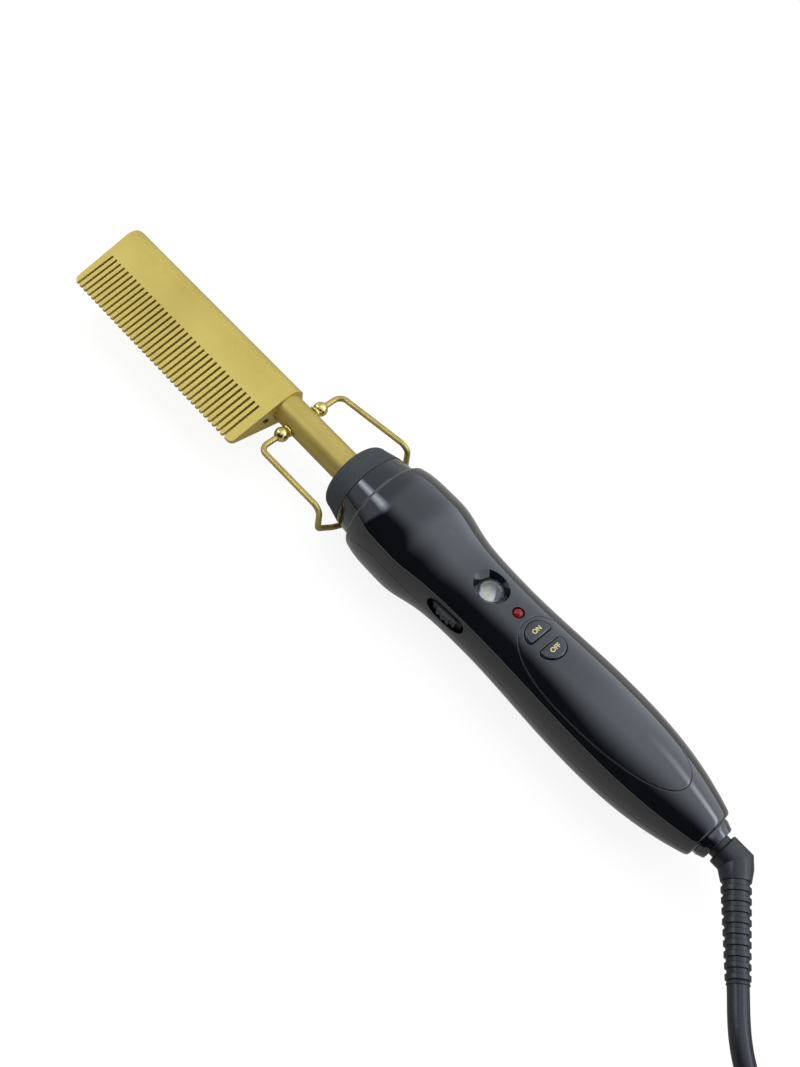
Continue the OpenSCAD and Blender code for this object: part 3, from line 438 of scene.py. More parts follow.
def wear_and_highlight_group():
    """A mask that is 1 on outer and inner edges of the shape, where a lighter colour is painted: mostly a
    painted highlight on rounded edges, on the screw partly rubbed wear as well.
    """
    group, given, out = new_group(
        "Edge Wear",
        [("Width", "NodeSocketFloat", 0.0003), ("Strength", "NodeSocketFloat", 1.0)],
        [("Mask", "NodeSocketFloat")],
    )
    calc = partial(math_node, group)
    rounded = new_node(group, "Bevel", Radius=given.outputs["Width"])
    rounded.samples = 4
    agree = new_node(group, "VectorMath")
    agree.operation = "DOT_PRODUCT"
    for socket, surface in zip(agree.inputs, (rounded, new_node(group, "NewGeometry"))):
        feed(group, socket, surface.outputs["Normal"])
    bent = calc("SUBTRACT", 1.0, agree.outputs["Value"])
    worn_and_lit = calc("MULTIPLY", bent, 6.0, clamp=True)
    fed(group, out, Mask=calc("MULTIPLY", worn_and_lit, given.outputs["Strength"]))
    return group


def group_node(tree, name, **inputs):
    """A node of the named group, which is built once."""
    made = bpy.data.node_groups.get(name)
    node = tree.nodes.new("ShaderNodeGroup")
    node.node_tree = made or {"Moulded Surface": surface_group, "Edge Wear": wear_and_highlight_group}[name]()
    return fed(tree, node, **inputs)


GLOSS = dict(
    colour="gloss_black", shade=(9, 11, 15), cloud=70, grain=900, fleck=0.0, rough=0.045, smudge=0.04,
    depth=0.0000015, Coat_Weight=1.0, Coat_Roughness=0.03,
)
# A colour is a user's, by its name, or one written in 0 to 255; the shader's own sockets have capitals
FINISHES = {
    # The gold coating's lighter edge colour is a painted highlight on its rounded edges
    "satin_gold_coating": dict(
        colour="gold", shade="gold_shade", cloud=45, grain=3200, fleck=0.1, depth=0.00003, wear=0.5,
        wear_colour=(236, 220, 160), Metallic=0.62,
    ),
    # A darker copy of the gold coating, painted shade on the tube
    "tube_gold_coating": dict(
        colour="tube_gold", shade=(184, 160, 70), grain=3400, fleck=0.08, rough=0.42, depth=0.00003,
        Metallic=0.62,
    ),
    "wire_gold_coating": dict(
        colour="wire_gold", shade=(182, 158, 78), cloud=160, grain=3600, fleck=0.08, rough=0.36, smudge=0.12,
        Metallic=0.7,
    ),
    "polished_brass": dict(
        colour="brass", shade=(214, 194, 112), cloud=400, grain=5000, fleck=0.03, rough=0.1, smudge=0.08,
        depth=0.000004, Metallic=1.0,
    ),
    # The screw's lighter edge colour is partly rubbed wear, partly a painted highlight
    "blackened_screw": dict(
        colour=(48, 42, 28), shade=(30, 27, 20), cloud=700, grain=4000, rough=0.34, smudge=0.2, wear=0.5,
        wear_colour=(190, 168, 96), wear_width=0.00015, Metallic=0.8,
    ),
    "zinc_plated_steel": dict(
        colour=(190, 191, 194), shade=(150, 152, 158), cloud=300, grain=4000, rough=0.32, smudge=0.16,
        depth=0.00001, Metallic=1.0,
    ),
    "plated_blades": dict(colour=(214, 196, 140), rough=0.24, Metallic=1.0),
    "gloss_black_plastic": GLOSS,
    "gloss_button_plastic": {**GLOSS, "rough": 0.09},
    "gloss_nut_plastic": {**GLOSS, "rough": 0.14},
    # The collar's lighter edge colour is a painted highlight on its rounded edges
    "matte_heat_plastic": dict(
        colour="matte_black", shade=(39, 45, 48), cloud=120, grain=2600, fleck=0.02, rough=0.62, smudge=0.12,
        depth=0.00003, wear=0.35, wear_colour=(74, 82, 87),
    ),
    "black_rubber": dict(
        colour="rubber_black", shade=(13, 16, 20), cloud=90, grain=2200, fleck=0.01, rough=0.33, smudge=0.14,
    ),
    "printed_letters": dict(
        colour="letter", shade=(226, 216, 140), cloud=900, grain=5000, fleck=0.04, rough=0.5, depth=0.000005,
    ),
    "red_lamp_lens": dict(
        colour="lamp", shade=(104, 4, 3), cloud=700, fleck=0.0, rough=0.1, smudge=0.05, depth=0.000004,
        Emission_Color=linear(255, 30, 12), Emission_Strength=0.04,
    ),
    "clear_window_plastic": dict(
        colour=(240, 246, 246), shade=(236, 243, 244), cloud=200, grain=900, fleck=0.0, rough=0.03, smudge=0.02,
        depth=0.0000005, Transmission_Weight=1.0, IOR=1.49,
    ),
    "satin_wheel_plastic": dict(
        colour=(34, 37, 42), shade=(26, 28, 33), cloud=150, grain=2400, fleck=0.01, rough=0.34, depth=0.00001,
    ),
    "satin_number_plate": dict(
        colour=(205, 203, 210), shade=(190, 188, 195), cloud=220, grain=3000, fleck=0.08, depth=0.00001,
        Metallic=0.2,
    ),
    "fired_ceramic": dict(colour=(232, 226, 214), shade=(214, 205, 190), rough=0.55),
    "woven_sleeving": dict(
        colour=(226, 220, 200), shade=(200, 190, 166), grain=4200, rough=0.8, depth=0.00006,
    ),
    "black_component_resin": dict(colour=(38, 39, 42), shade=(28, 29, 32), rough=0.55),
    "green_solder_mask": dict(colour=(22, 104, 58), shade=(12, 84, 44), cloud=260, rough=0.3, smudge=0.12),
    "ochre_capacitor_case": dict(colour=(196, 158, 46), shade=(176, 138, 36), rough=0.45),
    "copper_contacts": dict(
        colour=(214, 150, 96), shade=(184, 116, 68), cloud=500, rough=0.28, Metallic=1.0,
    ),
}


def colour_of(value):
    if isinstance(value, str):
        return tuple(getattr(bpy.context.scene.hot_comb_finish, value))
    return linear(*value)


def blank_material(name):
    made = bpy.data.materials.new(name)
    made.use_nodes = True
    return made, made.node_tree, made.node_tree.nodes["Principled BSDF"]


def material(name):
    """The named finish as a material, made once."""
    return bpy.data.materials.get(name) or new_material(name, **FINISHES[name])


def new_material(name, colour, shade=None, cloud=60.0, grain=2500.0, fleck=0.05, rough=0.4, smudge=0.1,
                 depth=None, wear=0.0, wear_colour=None, wear_width=0.0003, **own):
    """A material whose colour, roughness and grain vary over the surface."""
    made, tree, shader = blank_material(name)
    colour = colour_of(colour)
    shade = colour_of(shade) if shade else tuple(0.8 * c for c in colour[:3]) + (1.0,)
    surface = group_node(
        tree, "Moulded Surface", Colour=colour, Shade=shade, Cloud_Scale=cloud, Grain_Scale=grain, Fleck=fleck,
        Roughness=rough, Smudge=smudge,
    )
    tint = surface.outputs["Colour"]
    # Edges take a lighter colour: a painted highlight on the gold coating and the collar, on the blackened
    # screw rubbed wear and a painted highlight
    if wear:
        edges = group_node(tree, "Edge Wear", Width=wear_width, Strength=wear)
        tint = mixed(tree, edges.outputs["Mask"], tint, linear(*wear_colour))
    depth = depth or bpy.context.scene.hot_comb_sizes.grain_depth
    bump = new_node(tree, "Bump", Strength=0.5, Distance=depth, Height=surface.outputs["Height"])
    rough, normal = surface.outputs["Roughness"], bump.outputs["Normal"]
    fed(tree, shader, Base_Color=tint, Roughness=rough, Normal=normal, **own)
    return made


def dress(node, given):
    """Gives a CAD node that stays a material."""
    piece = NODES[node]
    if not piece.material_slots:
        piece.data.materials.append(given)
    for slot in piece.material_slots:
        slot.material = given


# ---- Operators ----


class HOTCOMB_OT_camera(bpy.types.Operator):
    """Sets the camera at the photograph's viewing angle."""

    bl_idname = "hotcomb.camera"
    bl_label = "Camera"

    def execute(self, context):
        camera = bpy.data.objects.new("camera", bpy.data.cameras.new("camera"))
        camera.location = (0.110087, -0.155774, 0.34686)
        camera.rotation_euler = [math.radians(a) for a in (30.2, -6.42, 47.88)]
        camera.data.sensor_width = 36.0
        camera.data.lens = context.scene.hot_comb_stage.lens
        camera.data.clip_start, camera.data.clip_end = 0.01, 20
        context.scene.collection.objects.link(camera)
        context.scene.camera = camera
        return {"FINISHED"}


# Lead coordinates: millimetres from the strain relief's end, X along the handle, Z from the table
RELIEF_END = Vector((175.981, -25.056, 0)) * MM
LEAD = Matrix.Translation((JOINT.x + RELIEF_END.x, JOINT.y + RELIEF_END.y, 0)) @ Matrix.Scale(MM, 4)
LEAD_TURN = math.radians(LEAD_ANGLE)
RELIEF_DIR = Vector((math.cos(LEAD_TURN), -math.sin(LEAD_TURN), 0))
RUN_STRAIGHT, RUN_BEND_R, RUN_LEN, RUN_FALL = 8.0, 35.5, 98.0, 64.0
RUN_BEND_LEN = RUN_BEND_R * LEAD_TURN
RUN_MID = RUN_STRAIGHT * RELIEF_DIR + RUN_BEND_R * Vector((-RELIEF_DIR.y, RELIEF_DIR.x, 0))
COIL_R, COIL_PITCH, LAYER_TURNS, COIL_LAYERS, COIL_LOW = 39.5, 6.5, 2, 4, CORD_R + 0.05
COIL_TURNS = COIL_LAYERS * LAYER_TURNS + 0.25
COIL_MID = RUN_MID + Vector((RUN_LEN - RUN_STRAIGHT - RUN_BEND_LEN, COIL_R - RUN_BEND_R, 0))
TAIL_BEND_R, TAIL_STRAIGHT, PLUG_HALF_T = 27.0, 6.0, 7.5
PLUG_Z = COIL_LOW + (COIL_LAYERS - 1) * COIL_PITCH + CORD_R + PLUG_HALF_T + 0.05


def ease(t):
    """Rises smoothly from 0 to 1."""
    u = max(0, min(1, t))
    return u * u * (3 - 2 * u)


def run_point(s):
    """The lead at a distance s from the strain relief: it turns level with the handle and falls."""
    z = HIP_R - (HIP_R - COIL_LOW) * ease((s - RUN_STRAIGHT) / RUN_FALL)
    if s < RUN_STRAIGHT:
        return s * RELIEF_DIR + Vector((0, 0, z))
    bent = min(s - RUN_STRAIGHT, RUN_BEND_LEN)
    a = LEAD_TURN * (1 - bent / RUN_BEND_LEN)
    bend = RUN_MID - RUN_BEND_R * Vector((math.sin(a), math.cos(a), 0))
    return bend + Vector((s - RUN_STRAIGHT - bent, 0, z))


def coil_point(turns):
    """The lead that many turns into its coil."""
    folds = turns / (2 * LAYER_TURNS)
    inward = abs(folds - math.floor(folds + 0.5)) * 2 * LAYER_TURNS
    lifted = sum(min(1, max(0, 2 * (turns - k * LAYER_TURNS) + 0.5)) for k in range(1, COIL_LAYERS + 1))
    r, a = COIL_R - COIL_PITCH * inward, math.radians(360 * turns - 90)
    return COIL_MID + Vector((r * math.cos(a), r * math.sin(a), COIL_LOW + COIL_PITCH * lifted))


def tail_point(t):
    """The lead's last bend, across the coil's top, for t from 0 to 1."""
    end = coil_point(COIL_TURNS)
    a = math.pi / 2 * t
    bend = TAIL_BEND_R * Vector((math.cos(a) - 1, math.sin(a), 0))
    return end + bend + Vector((0, 0, (PLUG_Z - end.z) * ease(t)))


def round_bar(name, radius):
    """The object of an empty curve that becomes a round bar with closed ends."""
    line = bpy.data.curves.new(name, "CURVE")
    line.dimensions, line.bevel_depth, line.bevel_resolution, line.use_fill_caps = "3D", radius, 5, True
    bar = bpy.data.objects.new(name, line)
    bpy.context.scene.collection.objects.link(bar)
    return bar


class HOTCOMB_OT_lead(bpy.types.Operator):
    """Lays the mains lead: a short run, a round coil and the plug."""

    bl_idname = "hotcomb.lead"
    bl_label = "Mains lead"

    def execute(self, context):
        per_turn, tail_steps = 24, 8
        points = [run_point(s) for s in (0.02, 4, 8, *range(14, 93, 6))]
        points += [coil_point(i / per_turn) for i in range(int(COIL_TURNS * per_turn) + 1)]
        points += [tail_point((i + 1) / tail_steps) for i in range(tail_steps)]
        points.append(points[-1] - Vector((TAIL_STRAIGHT, 0, 0)))
        lead = round_bar("mains_lead", CORD_R * MM)
        lead.data.resolution_u = 3
        spline = lead.data.splines.new("BEZIER")
        spline.bezier_points.add(len(points) - 1)
        for point, place in zip(spline.bezier_points, points):
            point.co = LEAD @ place
            point.handle_left_type = point.handle_right_type = "AUTO"
        lead.data.materials.append(material("black_rubber"))
        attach(lead, "swivel")
        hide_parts("cord_run", "cord_coil", "cord_tail")
        plug = copied(
            "plug_body", "moulded_plug", "swivel", material("black_rubber"), sharp=40, rounding=0.8 * MM
        )
        dress("plug_blades", material("plated_blades"))
        return {"FINISHED"}


class HOTCOMB_OT_comb(bpy.types.Operator):
    """Finishes the comb head and its locking screw."""

    bl_idname = "hotcomb.comb"
    bl_label = "Comb head"

    def execute(self, context):
        copied("comb_head", "gold_comb_head", "handle", material("satin_gold_coating"))
        copied("comb_screw", "dark_lock_screw", "handle", material("blackened_screw"))
        return {"FINISHED"}


class HOTCOMB_OT_neck(bpy.types.Operator):
    """Makes the tube, the washers and the ball nuts that carry the stand."""

    bl_idname = "hotcomb.neck"
    bl_label = "Neck"

    def execute(self, context):
        bore, rim, stud_r, ball_r, slack = TUBE_R - 0.8, TUBE_R + 1.8, 1.25, 2.5, 0.02
        tube_x0, flange_x0, flange_x1, tube_x1 = HEAD_END_X - 11.9, 12, 13.2, 16
        tube = spun(
            [(tube_x0, bore), (tube_x0, TUBE_R), (flange_x0, TUBE_R), (flange_x0, rim), (flange_x1, rim),
             (flange_x1, TUBE_R), (tube_x1, TUBE_R), (tube_x1, bore)], steps=128,
        )
        hole = turned(disc(stud_r, -9, 9, segments=32), math.pi / 2, "X")
        tube = carved(tube, [moved(hole, x=PIVOT_X)])
        finished(tube, "gold_neck_tube", "handle", material("tube_gold_coating"), ["neck_tube"])

        washer_y0, washer_y1 = TUBE_R + 0.01, TUBE_R + 1.01
        ring = arc(((washer_y0 + washer_y1) / 2, 1.85), (0.5, 0.45), 0, 345, 23)
        washer = [(y, max(r, stud_r + 0.01)) for y, r in ring]
        ball_y, neck_r, socket_r = washer_y1 + 0.72 * ball_r, 1.15, 1.05
        start = math.degrees(math.acos((washer_y1 + slack - ball_y) / ball_r))
        end = math.degrees(math.asin(neck_r / ball_r))
        ball = arc((ball_y, 0), (ball_r, ball_r), start, end, 28)
        ball += [(ball[-1][0] - 0.1, socket_r), (washer_y1 + 1.5, socket_r), (washer_y1 + 1.5, stud_r),
                 (washer_y1 + slack, stud_r)]
        brass = material("polished_brass")
        for name, outline, node in (
            ("brass_washers", washer, "stand_washers"), ("brass_ball_nuts", ball, "stand_nuts"),
        ):
            sides = [turned(spun(outline, steps=64), angle) for angle in (math.pi / 2, -math.pi / 2)]
            pair = moved(joined(*sides), x=PIVOT_X)
            finished(pair, name, "handle", brass, [node], sharp=50)
        dress("stand_stud", material("zinc_plated_steel"))
        return {"FINISHED"}


def rounded_line(points, bend, steps):
    """The points with each inner corner rounded to the bend radius."""
    line = [points[0]]
    for before, corner, after in zip(points, points[1:], points[2:]):
        d0, d1 = (corner - before).normalized(), (after - corner).normalized()
        turn = d0.angle(d1)
        start = corner - bend * math.tan(turn / 2) * d0
        centre = corner + (d1 - d0).normalized() * (bend / math.cos(turn / 2))
        x = (start - centre).normalized()
        line += [
            centre + bend * (math.cos(turn * k / steps) * x + math.sin(turn * k / steps) * d0)
            for k in range(steps + 1)
        ]
    return line + [points[-1]]


class HOTCOMB_OT_stand(bpy.types.Operator):
    """Bends the wire stand."""

    bl_idname = "hotcomb.stand"
    bl_label = "Stand"

    def execute(self, context):
        knee, heel, foot_x = (-3.3, STAND_HALF_W + 1.6, 4.2), (-3.1, STAND_HALF_W + 1.9, -6.8), -2.5
        side = [
            (PIVOT_X, 8.12, 0), (PIVOT_X, STAND_HALF_W, 0), knee, heel,
            (foot_x - 0.5, STAND_HALF_W - 4.5, -12.8), (foot_x, 6, WIRE_R + 0.25 - HIP_R),
        ]
        corners = [Vector(p) for p in side] + [Vector((x, -y, z)) for x, y, z in reversed(side)]
        bends = rounded_line(corners, WIRE_BEND, 12)
        holder = round_bar("stand_line", WIRE_R - 0.01)
        spline = holder.data.splines.new("POLY")
        spline.points.add(len(bends) - 1)
        for point, place in zip(spline.points, bends):
            point.co = (*place, 1)
        wire = cleaned(evaluated_bmesh(holder))
        finished(wire, "gold_wire_stand", "stand", material("wire_gold_coating"), ["stand_wire"], sharp=50)
        return {"FINISHED"}


def seam_half(side):
    """A block whose one face is the seam: everything above it (1) or below it (-1)."""
    x0, x1, steps, reach = -7.0, TAIL_X + 1, 120, 40
    line = [x0 + (x1 - x0) * i / steps for i in range(steps + 1)]
    outline = [(x, seam(x) + side * SEAM_GAP / 2) for x in line] + [(x1, side * reach), (x0, side * reach)]
    bm = bmesh.new()
    ring = loop(bm, [(x, reach, z) for x, z in outline])
    face = bmesh.ops.contextual_create(bm, geom=ring)["faces"]
    far = bmesh.ops.extrude_face_region(bm, geom=face)["geom"]
    bmesh.ops.translate(bm, verts=new_verts(far), vec=(0, -2 * reach, 0))
    bmesh.ops.recalc_face_normals(bm, faces=bm.faces[:])
    return bm


def panel_plan(gap):
    """Outline of the inlaid panel, grown by gap."""
    points, count = [], 144
    for i in range(count):
        c, s = math.cos(2 * math.pi * i / count), math.sin(2 * math.pi * i / count)
        power, length = (2.2, PANEL_REAR) if c > 0 else (2.4, PANEL_FRONT)
        points.append((
            PANEL_X + math.copysign((length + gap) * abs(c) ** (2 / power), c),
            math.copysign((PANEL_HALF_W + gap) * abs(s) ** (2 / power), s),
        ))
    return points


def button_plan(side):
    """Outline of a D-shaped button; side -1 is ON and 1 is OFF."""

    def plan(gap):
        r, flat, corner_r = BUTTON_R + gap, BUTTON_FLAT + gap, BUTTON_CORNER + gap
        mid_x = corner_r - flat
        mid_y = math.sqrt((r - corner_r) ** 2 - mid_x**2)
        reach = math.degrees(math.atan2(mid_y, mid_x))
        corner = arc((mid_x, mid_y), (corner_r, corner_r), reach, 180, 8)[1:]
        points = arc((0, 0), (r, r), -reach, reach, 48) + corner
        points += [(-flat, mid_y - 2 * mid_y * i / 12) for i in range(1, 12)]
        points += [(x, -y) for x, y in reversed(corner)]
        points = [(BUTTON_X + side * (BUTTON_SIDE + x), y) for x, y in points]
        return points if side > 0 else points[::-1]

    return plan


class HOTCOMB_OT_handle(bpy.types.Operator):
    """Makes the nose collar and the two gloss shells, with their scoop, window and recess."""

    bl_idname = "hotcomb.handle"
    bl_label = "Handle"

    def execute(self, context):
        gloss = material("gloss_black_plastic")
        finished(self.collar(), "matte_nose_collar", "handle", material("matte_heat_plastic"), ["nose_collar"])
        blank = self.blank()
        lower = carved(blank.copy(), [seam_half(-1)], "INTERSECT")
        upper = carved(blank, [seam_half(1)], "INTERSECT")
        upper = carved(upper, self.top_openings())
        finished(cleaned(upper), "gloss_upper_shell", "handle", gloss, ["upper_shell"], sharp=25)
        lower = carved(lower, self.screw_holes())
        finished(cleaned(lower), "gloss_lower_shell", "handle", gloss, ["lower_shell"], sharp=25)
        copied("shell_screws", "shell_screws_plated", "handle", material("zinc_plated_steel"), sharp=40)
        return {"FINISHED"}

    def collar(self):
        nose, edge, rear, bore, floor_x = 2.8, 0.3, -0.1, TUBE_R + 0.1, -5.6
        front = arc((COLLAR_X + nose, COLLAR_FRONT_R - nose), (nose, nose), 180, 90, 9)
        return spun(
            [(COLLAR_X, bore), *front, (rear - edge, COLLAR_R - 0.03), (rear - 0.04, COLLAR_R - edge),
             (rear, SPIGOT_R + 0.1), (floor_x, SPIGOT_R + 0.1), (floor_x, bore)], steps=144,
        )

    def blank(self):
        """Both shells in one, with the window's seat, the wheel's pocket and the thumb scoop."""
        end_x, front_x, neck_hole, lug_r, joint_x, spigot_x = TAIL_X - 3, 2.5, 4.9, 9, -0.1, -5.5
        tail = handle_outline(0, 142.9, 112) + [(143.3, 8.6), (143.62, 8.38), (143.86, 8.06), (TAIL_X, 7.7)]
        inner = handle_outline(WALL, end_x, 30)[::-1]
        blank = spun(
            [(0, SPIGOT_R), (0, COLLAR_R - 0.25), (0.08, COLLAR_R - 0.07), (0.3, COLLAR_R + 0.02), *tail,
             (TAIL_X, neck_hole), (end_x, neck_hole), *inner, (front_x, 11.9), (front_x, TUBE_R + 0.1),
             (joint_x, TUBE_R + 0.1), (joint_x, lug_r), (spigot_x, lug_r), (spigot_x, SPIGOT_R)], steps=144,
        )
        blank = carved(blank, [disc(5.6, 9.28, 12.6, x=WINDOW_X)], "UNION")
        room, mid_z, thumb_r = 0.35, WHEEL_Z + WHEEL_T / 2, 2.9
        low, high = WHEEL_Z - room, WHEEL_Z + WHEEL_T + room
        pocket = disc(WHEEL_R + room, low, high, WHEEL_X, WHEEL_Y, 128)
        scoop = spun(arc((mid_z, WHEEL_R - 1.3), (thumb_r, thumb_r), 90, -262.5, 47), steps=128, axis="Z")
        return carved(blank, [pocket, moved(scoop, x=WHEEL_X, y=WHEEL_Y)])

    def top_openings(self):
        """Cutters for the window, the lamp, the panel's recess and the buttons' wells."""
        sill_r, bore, lip, mouth_z = LENS_R - 0.6, LENS_R + 0.1, 0.35, LENS_Z + LENS_T + 0.1
        window = upright(
            [(4, 0), (4, sill_r), (LENS_Z, sill_r), (LENS_Z, bore), (mouth_z, bore),
             (mouth_z + lip, bore + 0.9 * lip), (mouth_z + 5, bore + 4.5), (mouth_z + 5, 0)], WINDOW_X, 128,
        )
        top, hole_r = bulge(LAMP_X), LAMP_R + 0.1
        lamp_hole = upright(
            [(5, 0), (5, hole_r), (top - 0.25, hole_r), (top + 0.05, hole_r + 0.2), (top + 3, hole_r + 1.4),
             (top + 3, 0)], LAMP_X, 64,
        )
        mouth = quarter_round(0.05, 0, 0.2, outward=True)
        recess = stacked(panel_plan, [(0.05, -PANEL_T - 0.05), *mouth, (0.6, 0.6)])
        wells = [stacked(button_plan(side), [(0.15, 5), (0.15, 20)]) for side in (-1, 1)]
        return [window, lamp_hole, laid(gridded(recess, 2.0, 1.4)), *wells]

    def screw_holes(self):
        holes = []
        for x in (26, 118):
            seat = 6.5 - bulge(x)
            holes += [disc(2.6, -30, seat, x=x, segments=48), disc(1.27, seat - 1, seat + 8, x=x, segments=32)]
        return holes


def printed(text, size, thick, bold=0.0):
    """Flat printed characters as a bmesh, centred, in millimetres."""
    line = bpy.data.curves.new("print", "FONT")
    line.body, line.size, line.extrude, line.offset = text, size, thick / 2, bold
    line.align_x, line.align_y, line.resolution_u = "CENTER", "CENTER", 4
    holder = bpy.data.objects.new("print", line)
    bpy.context.scene.collection.objects.link(holder)
    return cleaned(evaluated_bmesh(holder), 1e-5)


class HOTCOMB_OT_controls(bpy.types.Operator):
    """Makes the panel, the buttons with their letters, the lamp, the window and the numbered wheel."""

    bl_idname = "hotcomb.controls"
    bl_label = "Controls"

    def execute(self, context):
        sizes = context.scene.hot_comb_sizes
        panel = stacked(panel_plan, [(0, -PANEL_T), *quarter_round(0, 0, sizes.panel_round)])
        mouth = quarter_round(0.15, 0, 0.25, outward=True)
        wells = [stacked(button_plan(s), [(0.15, -PANEL_T - 1), *mouth, (0.8, 0.7)]) for s in (-1, 1)]
        panel = laid(gridded(carved(panel, wells), 1.0, 0.6))
        finished(panel, "gloss_top_panel", "handle", material("gloss_black_plastic"), ["top_panel"], sharp=30)
        for side, word in ((-1, "on"), (1, "off")):
            self.make_button(side, word, sizes)
        self.make_lamp()
        self.make_window()
        self.make_wheel(sizes)
        return {"FINISHED"}

    def make_button(self, side, word, sizes):
        plan, body = button_plan(side), f"{word}_key"
        cap = stacked(plan, [(0, -3.2), *quarter_round(0, BUTTON_PROUD, 0.45)])
        under = WAIST_R - WALL - 2
        flange = stacked(plan, [(0.8, under), (0.8, under + 0.7)])
        stem = disc(1.7, 4.9, under + 0.5, x=BUTTON_X + side * 3.6, segments=40)
        whole = carved(laid(gridded(cap, 1.2, 0.7)), [flange, stem], "UNION")
        gloss = material("gloss_button_plastic")
        finished(whole, f"{word}_button_cap", body, gloss, [f"{word}_button"], sharp=30)
        letters = turned(printed(word.upper(), sizes.letter_height, 0.05, bold=0.04), math.pi / 2)
        moved(letters, x=BUTTON_X + side * (BUTTON_SIDE + 1.5), z=BUTTON_PROUD + 0.01)
        finished(laid(gridded(letters, 1.0, 0.4)), f"{word}_letters", body, material("printed_letters"))

    def make_lamp(self):
        top = bulge(LAMP_X) + 0.6
        mid, foot = top - LAMP_R, top - LAMP_R - 5.5
        dome = arc((mid, 0), (LAMP_R, LAMP_R), 90, 7.5, 11)
        lamp = upright([(foot, 0), (foot, LAMP_R), *dome, (top, 0)], LAMP_X, 64)
        finished(cleaned(lamp), "red_lamp", "handle", material("red_lamp_lens"), ["status_lamp"], sharp=50)

    def make_window(self):
        top, r = LENS_Z + LENS_T, 0.3
        edge = arc((top - r, LENS_R - r), (r, r), 90, 0, 6)
        lens = cleaned(upright([(LENS_Z, 0), (LENS_Z, LENS_R), *edge, (top, 0)], WINDOW_X, 96))
        clear = material("clear_window_plastic")
        window = finished(lens, "window_lens_clear", "handle", clear, ["window_lens"], sharp=50)
        window.visible_shadow = False

    def make_wheel(self, sizes):
        copied("thumb_wheel", "thumb_wheel_grooved", "wheel", material("satin_wheel_plastic"), sharp=40)
        low, high, hub_r = PLATE_Z - 0.02, PLATE_Z + 0.06, 2.7
        plate = [(low, hub_r), (low, PLATE_R - 0.15), (high, PLATE_R - 0.2), (high, hub_r)]
        plate = moved(spun(plate, axis="Z"), x=WHEEL_X, y=WHEEL_Y)
        finished(plate, "number_plate", "wheel", material("satin_number_plate"))
        digits, start, step, number_r = [], math.atan2(-WHEEL_Y, WINDOW_X - WHEEL_X), math.radians(38), 5.3
        for i in range(8):
            digit = moved(printed(str(i + 1), sizes.number_height, 0.06, bold=0.02), x=number_r, z=high + 0.02)
            digits.append(turned(digit, start + step * (i - 3)))
        numbers = moved(joined(*digits), x=WHEEL_X, y=WHEEL_Y)
        finished(numbers, "wheel_numbers", "wheel", material("printed_letters"))


